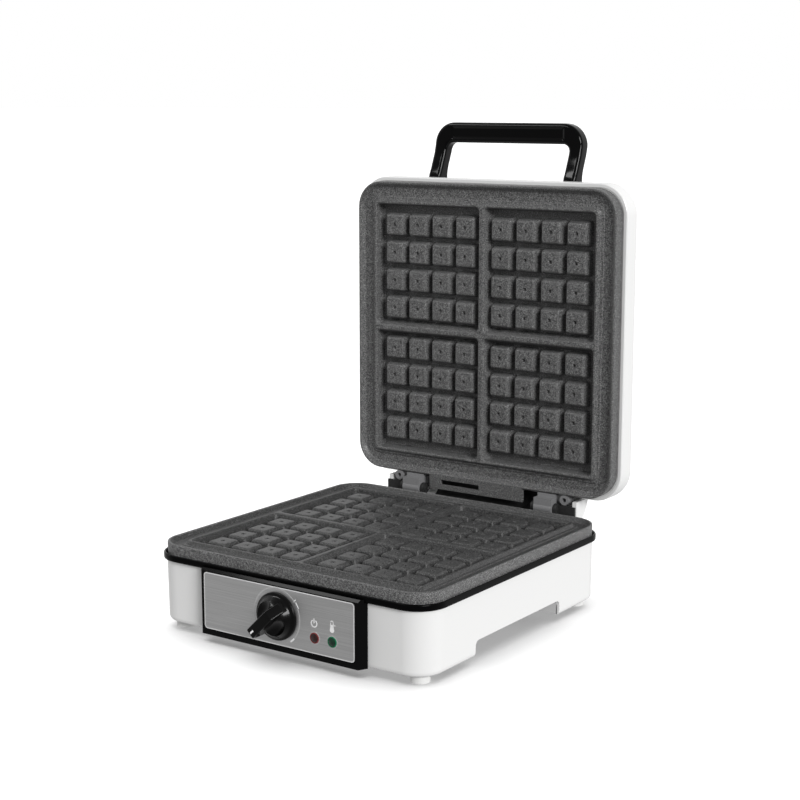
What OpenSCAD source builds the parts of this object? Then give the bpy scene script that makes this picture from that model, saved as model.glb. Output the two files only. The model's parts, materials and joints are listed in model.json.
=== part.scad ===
// Square four-cell waffle maker, lid open. Millimetres, +Z up.
// The origin is on the resting surface, under the middle of the whole object.
// All modules are drawn about the middle of the base; on_origin() shifts them to the origin.
// The lid's pieces are drawn closed and swung open about the hinge axis by opened().

/* [Base] */
// Width of the base body
base_w = 270; // [266:1:274]
// Depth of the base body
base_d = 271; // [268:1:276]
// Height of the feet under the base body
foot_h = 7; // [6:0.5:9]
// Height of the base body's top edge above the surface
base_top = 59; // [58:0.5:62]
// Radius of the base body's upright corners
base_r = 23; // [20:1:26]
// Wall of the base body and the lid shell
wall = 2.8; // [2.5:0.1:3]
// Height of the lifting tunnel's roof above the surface
tunnel_top = 19.8; // [18:0.2:21]
// Front edge of the lifting tunnel, from the middle of the base
tunnel_front = -66; // [-70:1:-62]
// Rear edge of the lifting tunnel, from the middle of the base
tunnel_rear = 64; // [60:1:68]
// Radius of a foot
foot_r = 7.8; // [7:0.2:9]

/* [Rim] */
// How far the rim stands out past the base body
rim_over = 2.6; // [2:0.2:3]
// Height of the rim
rim_h = 5.5; // [4.5:0.5:6]

/* [Baking plates] */
// Width and depth of a baking plate
plate_w = 270; // [268:1:270]
// Radius of a baking plate's corners
plate_r = 24; // [22:1:25]
// Height of the lower plate's lip above the surface
lip_z = 73; // [72:0.5:74]
// Depth of the floor of a cell below the lip
cell_depth = 12; // [11:0.5:13]
// Depth of the pegs' tips below the lip
tip_depth = 2; // [1.5:0.5:3]
// Spacing of the pegs within a cell
peg_pitch = 25.6; // [25:0.1:26]
// Spacing of the pegs across a divider
peg_gap = 37.7; // [37:0.1:38.5]
// Half width of a peg at its tip
peg_tip = 9; // [8.5:0.1:9.5]
// Half width of a peg at its foot
peg_foot = 11.1; // [10.2:0.1:11.3]
// Depth of the overflow gutter below the lip
gutter_depth = 4.5; // [3.5:0.5:5]
// Depth of the ridges below the lip
ridge_drop = 0.5; // [0.5:0.1:1]

/* [Control panel] */
// Half width of the panel's front
panel_half = 78; // [77:0.5:79]
// Half width of the panel where it meets the body
panel_root_half = 82; // [81:0.5:83]
// How far the panel stands out of the body
panel_out = 7.5; // [7:0.5:9]
// Height of the panel's top edge above the surface
panel_top = 61.8; // [61:0.2:62]
// Half width of the steel fascia
fascia_half = 75; // [74:0.5:75.5]
// Radius of an indicator lens
lens_r = 4.4; // [4:0.1:4.8]
// Knob radius
knob_r = 19.3; // [18:0.1:20]
// How far the knob's grip stands out of the fascia
knob_h = 19; // [17:0.5:21]

/* [Lid and hinge] */
// Distance of the hinge axis behind the middle of the base
hinge_y = 148.3; // [148:0.1:149]
// Gap between the two plates when the lid is closed
plate_gap = 0.4; // [0.3:0.1:0.6]
// Width of the lid shell
shell_w = 278; // [276:1:279]
// Radius of the lid shell's corners
shell_r = 27; // [26:1:28]
// Radius round the lid shell's top edge
shell_edge = 10; // [8:1:11]
// Height of the lid shell
shell_h = 24.9; // [24.5:0.1:26]
// Radius of a hinge pin
pin_r = 3; // [2.8:0.1:3.2]

/* [Handle] */
// Half width over the handle's legs
handle_half = 77.5; // [76:0.5:80]
// Width of a handle leg
leg_w = 13; // [12:0.5:15]
// Thickness of the handle
handle_t = 14; // [13:0.5:15]
// Reach of the handle from the hinge axis
handle_reach = 337; // [334:1:340]

/* [Hidden] */
$fn = 48;

// Clearances
slip = 0.2;
thread = 0.1;
run = 0.05;
eps = 0.5;

// Base levels
base_bottom = foot_h;
front_y = -base_d / 2;
rear_y = base_d / 2;
cover_t = 2.2;
ledge_t = 2.8;
ledge_half = 120;
foot_x = 118;
foot_y = 118.5;
post_x = 127;
post_y = 95;

// Rim levels
rim_flange_t = 1.3;
rim_top = base_top + rim_h;

// Plate section, measured down from the lip
plate_half = plate_w / 2;
skirt_h = 12.5;
casting_t = 3;
pan_half = 118.5;
pan_r = 11;
lip_t = 3.5;
skirt_t = 4;
cell_crest = [2, 115];
cell_foot = [6, 113.4];
ridge_crest = 117;
ridge_foot = 121;
lug = 119;
post_at = 45;
post_drop = 15;
boss_at = 56;
loop_half = 72;
loop_r = 25;
tube_r = 3.5;
under = cell_depth + casting_t;
tube_z = -under - slip - tube_r;
clamp_top = tube_z - tube_r - 0.1;
clamp_t = 1.3;
tray_top = -under - post_drop - 0.1;
tray_half = 112;
tray_t = 1;
peg_at = [for (s = [-1, 1], i = [0:3]) s * (peg_gap / 2 + i * peg_pitch)];

// Panel
panel_face = front_y - panel_out;
panel_wall = 2.5;
fascia_t = 1;
fascia_in = 0.6;
fascia_face = panel_face - (fascia_t - fascia_in);
fascia_low = 12.2;
fascia_top = 59;
knob_z = (fascia_low + fascia_top) / 2;
lens_z = 24.8;
lens_x = [37, 54];
spindle_r = 3;
knob_back = fascia_face - 0.5;

// Hinge and lid
hinge_z = lip_z + 0.2;
upper_lip = lip_z + plate_gap;
shell_z = upper_lip + skirt_h - 0.3;
shell_top = shell_z + shell_h;
shell_half = shell_w / 2;
lid_ledge = shell_z + 0.5;
barrel_r = 7;
ear_r = 5;
arm_in = 62;
arm_out = 80;
arm_front = 138.9;
ear_in = arm_in - 0.4;
ear_out = arm_out + 0.4;
ear_t = 3.6;
boss_x = 89;
boss_y = 139.6;
boss_r = 4.5;
cheek_half = 101;
cheek_front = 150;
housing_top = 81.2;
housing_low = 38;
tongue_z = lid_ledge + ledge_t - 0.3;

// Handle
bar_d = 18.4;
bar_front = hinge_y - handle_reach;
bar_z = 121.4;
leg_drop = 9;

// Places of the smaller parts
thermostat_y = front_y + 1.5;
gland_x = 70;
gland_z = 27;
gland_r = 6.4;
cord_r = 3.6;
clamp_x = [61, 79];
clamp_y = 116;
housing_screw_x = [-92, -30, 30, 92];
housing_screw_z = 48;
arc_y = 144;
arc_z = 86;
arc_r = 27.5;
floor_z = 62;
bracket_screw_y = 142.6;
bush_r = 4.2;
wire_x = -54;
lid_wire_x = -55.6;
lid_wire_z = 90.8;
handle_screw_x = 71;
handle_screw_y = [-125, -117];

// Overall depth, from the knob's tip to the back of the open handle
reach_front = fascia_face - knob_h;
reach_back = hinge_y + bar_z + handle_t / 2 - hinge_z;

// ---------- shared shapes ----------

// Moves a drawing about the base's middle to the object's origin
module on_origin() {
    translate([0, -(reach_front + reach_back) / 2, 0]) children();
}

// Swings closed lid pieces open, a quarter turn about the hinge axis
module opened() {
    translate([0, hinge_y, hinge_z]) rotate([-90, 0, 0]) translate([0, -hinge_y, -hinge_z]) children();
}

// Both sides of the object's middle plane
module both_sides() {
    children();
    mirror([1, 0, 0]) children();
}

module at_corners(x, y) {
    for (sx = [-1, 1], sy = [-1, 1]) translate([sx * x, sy * y, 0]) children();
}

module rounded_rect(w, d, r) {
    square([w, d - 2 * r], center = true);
    square([w - 2 * r, d], center = true);
    for (sx = [-1, 1], sy = [-1, 1]) translate([sx * (w / 2 - r), sy * (d / 2 - r)]) circle(r);
}

module slab(w, d, r, z0, z1) {
    translate([0, 0, z0]) linear_extrude(z1 - z0) rounded_rect(w, d, r);
}

module ring(w, d, r, t, z0, z1) {
    difference() {
        slab(w, d, r, z0, z1);
        slab(w - 2 * t, d - 2 * t, r - t, z0 - eps, z1 + eps);
    }
}

// Radial section of a block whose outer top edge is rounded
module edge_section(r, h, e) {
    square([r - e, h]);
    square([r, h - e]);
    translate([r - e, h - e]) circle(e);
}

// Block with upright corners of radius r and a rounded top edge of radius e
module soft_block(w, d, h, r, e) {
    translate([0, 0, h / 2]) cube([w - 2 * r, d - 2 * r, h], center = true);
    for (i = [0:3]) rotate([0, 0, 90 * i]) {
        along = (i % 2 == 0) ? w : d;
        across = (i % 2 == 0) ? d : w;
        translate([0, across / 2 - r, 0]) rotate([90, 0, 90])
            linear_extrude(along - 2 * r, center = true) edge_section(r, h, e);
        translate([along / 2 - r, across / 2 - r, 0]) rotate_extrude(angle = 90) edge_section(r, h, e);
    }
}

// Section in Y and Z, pulled out along X
module along_x(x0, x1) {
    translate([x0, 0, 0]) rotate([90, 0, 90]) linear_extrude(x1 - x0) children();
}

// Section in X and Z, pulled out along Y
module along_y(y0, y1) {
    translate([0, y1, 0]) rotate([90, 0, 0]) linear_extrude(y1 - y0) children();
}

// Tapered blocks on a square grid, where two rows of tapered bars cross.
// A bar is its two edges at z_low, then its two edges at z_high.
module crossed(bars, z_low, z_high) {
    module row() {
        for (b = bars) polygon([[b[0], z_low], [b[1], z_low], [b[3], z_high], [b[2], z_high]]);
    }
    intersection() {
        along_x(-plate_half, plate_half) row();
        along_y(-plate_half, plate_half) row();
    }
}

// Screw with its head above z = 0 and its shank below
module screw(head_r, head_h, shank_r, shank) {
    difference() {
        union() {
            cylinder(r = head_r, h = head_h);
            translate([0, 0, -shank]) cylinder(r = shank_r, h = shank + eps);
        }
        for (a = [0, 90]) rotate([0, 0, a])
            translate([0, 0, head_h]) cube([head_r * 1.2, 0.6, 1.2], center = true);
    }
}

// Round lead through the given points
module lead(points, r) {
    for (i = [0:len(points) - 2]) hull() {
        translate(points[i]) sphere(r, $fn = 8);
        translate(points[i + 1]) sphere(r, $fn = 8);
    }
}

// ---------- baking plates, drawn with the lip at z = 0 and the casting below ----------

// The four hollows, cut a little above the ridges on the same slope
module cells() {
    rise = (ridge_drop + eps) / (cell_depth - ridge_drop);
    inner = cell_crest[0] + (cell_crest[0] - cell_foot[0]) * rise;
    outer = cell_crest[1] + (cell_crest[1] - cell_foot[1]) * rise;
    crossed([
        [cell_foot[0], cell_foot[1], inner, outer],
        [-cell_foot[1], -cell_foot[0], -outer, -inner]
    ], -cell_depth, eps);
}

module plate_casting() {
    difference() {
        union() {
            difference() {
                union() {
                    slab(plate_w, plate_w, plate_r, -skirt_h, 0);
                    slab(2 * pan_half, 2 * pan_half, pan_r, -under, -gutter_depth - 1);
                }
                slab(plate_w - 2 * lip_t, plate_w - 2 * lip_t, plate_r - lip_t, -gutter_depth, eps);
                difference() {
                    ring(plate_w - 2 * skirt_t, plate_w - 2 * skirt_t, plate_r - skirt_t,
                        plate_half - skirt_t - pan_half, -skirt_h - eps, -gutter_depth - casting_t);
                    at_corners(lug, lug) translate([0, 0, -skirt_h]) cylinder(r = 5, h = skirt_h);
                }
            }
            crossed([[-ridge_foot, ridge_foot, -ridge_crest, ridge_crest]], -gutter_depth - 0.5, -ridge_drop);
            at_corners(post_at, post_at) translate([0, 0, -under - post_drop]) cylinder(r = 4.5, h = post_drop + eps);
            for (a = [0:90:270]) rotate([0, 0, a])
                translate([boss_at, 0, clamp_top + 0.1]) cylinder(r = 4, h = -under - clamp_top);
        }
        cells();
        at_corners(lug, lug) translate([0, 0, -skirt_h - eps]) cylinder(r = 1.7 + thread, h = 4 + eps);
        at_corners(post_at, post_at) translate([0, 0, -under - post_drop - eps]) cylinder(r = 1.5 + thread, h = 9);
        for (a = [0:90:270]) rotate([0, 0, a])
            translate([boss_at, 0, clamp_top - eps]) cylinder(r = 1.3 + thread, h = 6);
    }
    crossed([for (c = peg_at) [c - peg_foot, c + peg_foot, c - peg_tip, c + peg_tip]],
        -cell_depth - 0.2, -tip_depth);
}

// Slotted flange behind the upper plate
module rear_flange() {
    difference() {
        translate([-54, plate_half - eps, -3.2]) cube([100, 12.5 + eps, 3.2]);
        translate([-42, plate_half + 3, -4]) cube([42, 4.8, 5]);
    }
}

// Tubular heater: a square loop, open at the rear, with two cold ends
module element_loop() {
    side = loop_half - loop_r;
    translate([0, 0, tube_z]) {
        translate([0, -loop_half, 0]) rotate([0, 90, 0]) cylinder(r = tube_r, h = 2 * side, center = true);
        both_sides() {
            translate([loop_half, 0, 0]) rotate([90, 0, 0]) cylinder(r = tube_r, h = 2 * side, center = true);
            for (a = [0, -90]) translate([side, a == 0 ? side : -side, 0]) rotate([0, 0, a])
                rotate_extrude(angle = 90) translate([loop_r, 0]) circle(tube_r);
            translate([20, loop_half, 0]) rotate([0, 90, 0]) cylinder(r = tube_r, h = side - 20);
            translate([20, loop_half + 8, 0]) rotate([0, 0, 180])
                rotate_extrude(angle = 90) translate([8, 0]) circle(tube_r);
            translate([12, loop_half + 8, 0]) rotate([-90, 0, 0]) {
                cylinder(r = tube_r, h = 24);
                cylinder(r = 1.2, h = 28);
            }
        }
    }
}

module clamp_sheet() {
    difference() {
        slab(164, 164, 14, clamp_top - clamp_t, clamp_top);
        slab(102, 102, 8, clamp_top - clamp_t - eps, clamp_top + eps);
        for (a = [0:90:270]) rotate([0, 0, a])
            translate([boss_at, 0, clamp_top - clamp_t - eps]) cylinder(r = 1.3 + slip, h = 3);
    }
}

module clamp_screws() {
    for (a = [0:90:270]) rotate([0, 0, a])
        translate([boss_at, 0, clamp_top - clamp_t]) rotate([180, 0, 0]) screw(2.6, 1.8, 1.3, 5);
}

module reflector_tray() {
    difference() {
        slab(2 * tray_half, 2 * tray_half, 10, tray_top - tray_t, -under - 5);
        slab(2 * tray_half - 2, 2 * tray_half - 2, 9, tray_top, 0);
        at_corners(post_at, post_at) translate([0, 0, tray_top - 3]) cylinder(r = 1.5 + slip, h = 5);
        both_sides() translate([12, 100, tray_top - 3]) cylinder(r = 4, h = 5);
        translate([40, -95, tray_top - 3]) cylinder(r = 2.2, h = 5);
    }
}

module tray_screws() {
    at_corners(post_at, post_at) translate([0, 0, tray_top - tray_t])
        rotate([180, 0, 0]) screw(3, 1.9, 1.5, 8);
}

// Places a plate drawing the right way up in the base
module in_base() {
    translate([0, 0, lip_z]) children();
}

// Places a plate drawing upside down in the closed lid, then opens the lid
module in_lid() {
    opened() translate([0, 0, upper_lip]) mirror([0, 0, 1]) children();
}

// ---------- base ----------

module tunnel(half, roof) {
    r = 4;
    along_x(-half, half) {
        translate([tunnel_front, 0]) square([tunnel_rear - tunnel_front, roof - r]);
        translate([tunnel_front + r, 0]) square([tunnel_rear - tunnel_front - 2 * r, roof]);
        for (y = [tunnel_front + r, tunnel_rear - r]) translate([y, roof - r]) circle(r);
    }
}

module base_housing() color("whitesmoke") {
    inner_w = base_w - 2 * wall;
    inner_d = base_d - 2 * wall;
    difference() {
        union() {
            ring(base_w, base_d, base_r, wall, base_bottom, base_top);
            difference() {
                slab(base_w - wall, base_d - wall, base_r - wall / 2, base_top - ledge_t, base_top);
                slab(2 * ledge_half, 2 * ledge_half, 10, base_top - 2 * ledge_t, base_top + eps);
            }
            at_corners(lug, lug) translate([0, 0, base_top - ledge_t]) cylinder(r = 4.2, h = ledge_t);
            at_corners(post_x, post_y) translate([0, 0, base_bottom + cover_t + slip]) {
                post_h = base_top - ledge_t / 2 - base_bottom - cover_t - slip;
                cylinder(r = 4.5, h = post_h);
            }
            for (sx = [-1, 1], sy = [-1, 1])
                translate([sx * (post_x + 3), sy * post_y, (base_bottom + base_top) / 2])
                    cube([7, 4, base_top - base_bottom - 2 * (cover_t + 1)], center = true);
        }
        tunnel(base_w, tunnel_top);
        translate([-74.5, front_y - eps, 11]) cube([149, wall + 2 * eps, 44.5]);
        at_corners(lug, lug) translate([0, 0, base_top - ledge_t - eps]) cylinder(r = 1.7 + slip, h = 5);
        at_corners(post_x, post_y) translate([0, 0, base_bottom]) cylinder(r = 1.5 + thread, h = 14);
        translate([gland_x, rear_y + eps, gland_z]) rotate([90, 0, 0]) cylinder(r = gland_r + 0.1, h = 5);
        for (x = housing_screw_x) translate([x, rear_y + eps, housing_screw_z])
            rotate([90, 0, 0]) cylinder(r = 1.7 + slip, h = 5);
    }
}

module base_cover() color("gainsboro") {
    w = base_w - 2 * wall - 2 * 0.3;
    d = base_d - 2 * wall - 2 * 0.3;
    low = base_bottom;
    high = tunnel_top;
    difference() {
        intersection() {
            slab(w, d, base_r - wall, 0, base_top);
            along_x(-base_w / 2, base_w / 2) {
                translate([-d / 2, low]) square([d / 2 + tunnel_front, cover_t]);
                translate([tunnel_rear, low]) square([d / 2 - tunnel_rear, cover_t]);
                translate([tunnel_front - cover_t, low]) square([cover_t, high - low + cover_t]);
                translate([tunnel_rear, low]) square([cover_t, high - low + cover_t]);
                translate([tunnel_front - cover_t, high])
                    square([tunnel_rear - tunnel_front + 2 * cover_t, cover_t]);
            }
        }
        at_corners(foot_x, foot_y) cylinder(r = 3 + run, h = 20);
        at_corners(post_x, post_y) cylinder(r = 1.5 + slip, h = 20);
        for (i = [-5:5]) translate([i * 12, 0, high + cover_t / 2]) cube([4, 70, 3 * cover_t], center = true);
    }
    for (x = clamp_x) translate([x, clamp_y, low + cover_t / 2]) difference() {
        cylinder(r = 3.5, h = gland_z - low - cover_t / 2);
        translate([0, 0, gland_z - low - cover_t / 2 - 8]) cylinder(r = 1.3 + thread, h = 9);
    }
}

module feet() color("white") at_corners(foot_x, foot_y) {
    cylinder(r = foot_r, h = foot_h);
    cylinder(r = 3, h = foot_h + cover_t + 1);
}

module cover_screws() color("silver") at_corners(post_x, post_y)
    translate([0, 0, base_bottom]) rotate([180, 0, 0]) screw(3, 1.8, 1.5, 10);

module rim_frame() color("black") {
    outer_w = base_w + 2 * rim_over;
    outer_d = base_d + 2 * rim_over;
    outer_r = base_r + rim_over;
    bead = outer_w / 2 - plate_half - 0.7;
    difference() {
        union() {
            slab(outer_w, outer_d, outer_r, base_top, base_top + rim_flange_t);
            difference() {
                slab(outer_w, outer_d, outer_r, base_top, rim_top);
                slab(outer_w - 2 * bead, outer_w - 2 * bead, outer_r - bead, base_top, rim_top + eps);
            }
        }
        slab(2 * ledge_half + 4, 2 * ledge_half + 4, 11, base_top - eps, rim_top + eps);
        translate([0, 0, base_top - eps]) at_corners(lug, lug) cylinder(r = 1.7 + slip, h = 5);
    }
    difference() {
        at_corners(lug, lug) translate([0, 0, base_top]) cylinder(r = 4.2, h = rim_flange_t);
        at_corners(lug, lug) translate([0, 0, base_top - eps]) cylinder(r = 1.7 + slip, h = 5);
    }
}

module lower_plate() color("dimgray") in_base() plate_casting();

module lower_plate_screws() color("silver") at_corners(lug, lug)
    translate([0, 0, base_top - ledge_t]) rotate([180, 0, 0]) screw(3.2, 2, 1.7, 7.5);

module lower_element() color("gray") in_base() element_loop();

module lower_element_clamp() color("silver") in_base() clamp_sheet();

module lower_clamp_screws() color("silver") in_base() clamp_screws();

module lower_reflector() color("lightsteelblue") in_base() reflector_tray();

module lower_reflector_screws() color("silver") in_base() tray_screws();

module thermal_fuse() color("burlywood") in_base() translate([0, -25, -under - slip - 2.2]) rotate([0, 90, 0]) {
    cylinder(r = 2.2, h = 22, center = true);
    cylinder(r = 0.6, h = 40, center = true);
}

module sensor_bulb() color("peru") {
    bulb_z = lip_z - under - slip - 2.5;
    translate([-25, -95, bulb_z]) rotate([0, 90, 0]) cylinder(r = 2.5, h = 50);
    lead([[24, -95, bulb_z], [40, -95, bulb_z], [40, -95, 34], [22, -104, 28], [17.5, -112, 26]], 0.8);
}

// ---------- control panel ----------

module panel_outline() {
    chamfer = 2;
    intersection() {
        along_x(-panel_root_half, panel_root_half) polygon([
            [panel_face, base_bottom], [front_y - slip, base_bottom], [front_y - slip, base_top - 0.1],
            [front_y - rim_over - slip, base_top - 0.1], [front_y - rim_over - slip, panel_top],
            [panel_face + chamfer, panel_top], [panel_face, panel_top - chamfer]
        ]);
        linear_extrude(panel_top) polygon([
            [-panel_half, panel_face], [panel_half, panel_face],
            [panel_root_half, front_y], [-panel_root_half, front_y]
        ]);
    }
}

module control_panel() color("#141414") {
    inner_y = panel_face + panel_wall;
    difference() {
        union() {
            panel_outline();
            translate([-74, front_y - eps, 11.5]) cube([148, 8, 43.5]);
        }
        translate([-71.5, inner_y, 14]) cube([143, 30, 38.5]);
        translate([0, panel_face + fascia_in, 0]) along_y(-5, 0)
            translate([0, knob_z]) rounded_rect(2 * fascia_half + 0.4, fascia_top - fascia_low + 0.4, 3);
        translate([0, inner_y + 2, knob_z]) rotate([90, 0, 0]) cylinder(r = 4.5, h = 9);
        for (x = lens_x) translate([x, inner_y + 2, lens_z]) rotate([90, 0, 0]) cylinder(r = lens_r + 0.1, h = 9);
    }
    for (x = [-24, 24]) translate([x, thermostat_y, knob_z]) rotate([90, 0, 0]) difference() {
        cylinder(r = 3.5, h = thermostat_y - inner_y + eps);
        translate([0, 0, -eps]) cylinder(r = 1.3 + thread, h = 6.5);
    }
    for (x = [-66, 66], z = [20, 47]) translate([x, front_y + 7, z]) rotate([90, 0, 0]) difference() {
        cylinder(r = 3.5, h = front_y + 7 - inner_y + eps);
        translate([0, 0, -eps]) cylinder(r = 1.5 + thread, h = 8);
    }
}

module fascia() color("darkgray") difference() {
    translate([0, fascia_face, 0]) along_y(0, fascia_t)
        translate([0, knob_z]) rounded_rect(2 * fascia_half, fascia_top - fascia_low, 2.8);
    translate([0, fascia_face + 3, knob_z]) rotate([90, 0, 0]) cylinder(r = 4.5, h = 6);
    for (x = lens_x) translate([x, fascia_face + 3, lens_z]) rotate([90, 0, 0]) cylinder(r = lens_r + 0.1, h = 6);
}

module panel_screws() color("silver") for (x = [-66, 66], z = [20, 47])
    translate([x, front_y + 7, z]) rotate([-90, 0, 0]) screw(3, 1.8, 1.5, 6.5);

module lens(x) translate([x, panel_face + panel_wall, lens_z]) rotate([90, 0, 0]) {
    rotate_extrude() polygon([
        [0, -1], [lens_r + 1.2, -1], [lens_r + 1.2, 0], [lens_r, 0],
        [lens_r, 3.4], [lens_r - 0.6, 3.9], [0, 4.1]
    ]);
}

module power_lens() color("darkred") lens(lens_x[0]);

module ready_lens() color("darkgreen") lens(lens_x[1]);

module neon_lamps() color("orange") for (x = lens_x)
    translate([x, panel_face + panel_wall + 1.2, lens_z]) rotate([-90, 0, 0]) {
        cylinder(r = 2.5, h = 12);
        for (s = [-1.2, 1.2]) translate([s, 0, 11.5]) cylinder(r = 0.5, h = 4);
    }

module thermostat() color("ivory") difference() {
    union() {
        translate([-16, thermostat_y + 1.9, knob_z - 15]) cube([32, 17, 30]);
        translate([0, thermostat_y + 2.5, knob_z]) rotate([90, 0, 0]) cylinder(r = 4, h = 6);
        for (x = [-9, 9]) translate([x - 3, thermostat_y + 18, knob_z - 12]) cube([6, 9, 0.8]);
    }
    translate([0, thermostat_y + 12, knob_z]) rotate([90, 0, 0]) cylinder(r = spindle_r + run, h = 30);
}

module thermostat_bracket() color("silver") difference() {
    translate([-30, thermostat_y + 0.1, knob_z - 12]) cube([60, 1.6, 24]);
    translate([0, thermostat_y + 4, knob_z]) rotate([90, 0, 0]) cylinder(r = 4.2, h = 8);
    for (x = [-24, 24]) translate([x, thermostat_y + 4, knob_z]) rotate([90, 0, 0]) cylinder(r = 1.5, h = 8);
}

module thermostat_screws() color("silver") for (x = [-24, 24])
    translate([x, thermostat_y + 1.7, knob_z]) rotate([-90, 0, 0]) screw(2.6, 1.6, 1.3, 6.5);

// ---------- wiring ----------

module terminal_block() color("ivory") translate([-60, 100, base_bottom + cover_t]) difference() {
    translate([-17, -8, 0.1]) cube([34, 16, 13]);
    for (x = [-11, 0, 11]) {
        translate([x, 9, 7]) rotate([90, 0, 0]) cylinder(r = 2, h = 18);
        translate([x, 0, 9]) cylinder(r = 1.8, h = 6);
    }
}

module base_wires() color("white") {
    lead([[-71, 91, 16], [-84, 60, 28], [-84, -70, 28], [-60, -105, 27], [-20, -108.5, 26]], 1.1);
    lead([[-60, 91, 16], [-50, 50, 30], [40, -60, 30], [54, -100, 26], [54, -122.3, 24.8]], 1.1);
    lead([[-49, 91, 16], [-20, 84, 30], [-12, 100, 36], [-12, 101, 46], [-12, 109.4, 50], [-12, 109.4, 54.3]], 1.1);
    lead([[-49, 109, 16], [0, 116, 26], [12, 101, 36], [12, 101, 46], [12, 109.4, 50], [12, 109.4, 54.3]], 1.1);
}

module cord_gland() color("black") translate([gland_x, rear_y, gland_z]) rotate([-90, 0, 0]) difference() {
    union() {
        translate([0, 0, 0.1]) cylinder(r = 9, h = 3);
        translate([0, 0, -wall - 3.1]) cylinder(r = 8.6, h = 3);
        translate([0, 0, -wall - 1]) cylinder(r = gland_r, h = wall + 2);
        translate([0, 0, 3]) cylinder(r = 6.2, h = 7);
    }
    translate([0, 0, -10]) cylinder(r = cord_r, h = 30);
}

module cord_clamp() color("ivory") difference() {
    translate([clamp_x[0] - 4, clamp_y - 4, gland_z + 0.1]) cube([clamp_x[1] - clamp_x[0] + 8, 8, 5]);
    translate([gland_x, clamp_y + 5, gland_z]) rotate([90, 0, 0]) cylinder(r = cord_r - 0.4, h = 10);
    for (x = clamp_x) translate([x, clamp_y, gland_z - 1]) cylinder(r = 1.5, h = 9);
}

module cord_clamp_screws() color("silver") for (x = clamp_x)
    translate([x, clamp_y, gland_z + 5.1]) screw(2.6, 1.6, 1.3, 11.5);

// ---------- hinge, base side ----------

module housing_section() {
    translate([rear_y + 0.1, housing_low]) square([5, base_top - housing_low - 0.1]);
    translate([rear_y + rim_over + 0.3, housing_low]) square([arc_y - rear_y - rim_over - 0.3, housing_top - housing_low]);
    intersection() {
        translate([arc_y, arc_z]) circle(arc_r);
        translate([arc_y - 1, 0]) square([arc_r + 2, housing_top]);
    }
}

module housing_hollow() {
    translate([rear_y, floor_z]) square([arc_y - rear_y, 30]);
    intersection() {
        translate([arc_y, arc_z]) circle(arc_r - 3);
        translate([arc_y - 1, floor_z]) square([arc_r, 30]);
    }
}

module hinge_housing() color("whitesmoke") difference() {
    along_x(-cheek_half, cheek_half) housing_section();
    along_x(-cheek_half + 4, cheek_half - 4) housing_hollow();
    both_sides() translate([cheek_half - 5, rear_y, floor_z]) cube([6, cheek_front - rear_y, 30]);
    both_sides() translate([arm_in - 1, hinge_y + 5, hinge_z + 1]) cube([arm_out - arm_in + 2, 30, 20]);
    both_sides() for (x = [66, 76]) translate([x, bracket_screw_y, floor_z - 11]) cylinder(r = 1.5 + thread, h = 20);
    for (x = housing_screw_x) translate([x, rear_y - 1, housing_screw_z])
        rotate([-90, 0, 0]) cylinder(r = 1.7 + thread, h = 6.5);
    translate([wire_x, arc_y - 2, floor_z - 30]) cylinder(r = 2.2, h = 31);
}

module hinge_housing_screws() color("silver") for (x = housing_screw_x)
    translate([x, rear_y - wall, housing_screw_z]) rotate([90, 0, 0]) screw(3, 1.8, 1.7, 7.5);

// Each bracket: a foot, two ears on the pin and a screen beside the outer ear.
// The right one also carries the curved liner between the hinges.
module hinge_brackets() color("#303030") difference() {
    union() {
        both_sides() {
            translate([ear_in - ear_t, rear_y + rim_over + 0.6, floor_z + 0.1])
                cube([ear_out - ear_in + 2 * ear_t, 10.3, 2.5]);
            for (x = [ear_in - ear_t, ear_out]) along_x(x, x + ear_t) {
                translate([hinge_y, hinge_z]) circle(ear_r);
                translate([hinge_y - ear_r, floor_z + 0.1]) square([ear_r + 0.5, hinge_z - floor_z]);
            }
            translate([ear_out + ear_t - eps, hinge_y - 1, floor_z + 0.1]) cube([17.3, 1.5, 14.9]);
        }
        along_x(-53, ear_in - 0.6) intersection() {
            difference() {
                translate([arc_y, arc_z]) circle(arc_r - 3.1);
                translate([arc_y, arc_z]) circle(arc_r - 4.4);
            }
            translate([arc_y, floor_z + 0.1]) square([arc_r, housing_top - floor_z - 0.4]);
        }
    }
    both_sides() {
        translate([50, hinge_y, hinge_z]) rotate([0, 90, 0]) cylinder(r = pin_r + 0.02, h = ear_out + ear_t + 0.6 - 50);
        for (x = [66, 76]) translate([x, bracket_screw_y, floor_z - 1]) cylinder(r = 1.5 + slip, h = 9);
    }
}

module hinge_bracket_screws() color("silver") both_sides() for (x = [66, 76])
    translate([x, bracket_screw_y, floor_z + 2.6]) screw(2.8, 1.6, 1.5, 12);

module hinge_pins() color("#202020") both_sides() translate([0, hinge_y, hinge_z]) rotate([0, 90, 0]) {
    translate([0, 0, ear_in - ear_t - 0.1]) cylinder(r = pin_r, h = ear_out - ear_in + 2 * ear_t + 0.6);
    translate([0, 0, ear_in - ear_t - 0.9]) cylinder(r = pin_r + 1, h = 0.8);
}

// ---------- lid, drawn closed ----------

module shell_outer() {
    translate([0, 0, shell_z]) soft_block(shell_w, shell_w, shell_h, shell_r, shell_edge);
}

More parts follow.
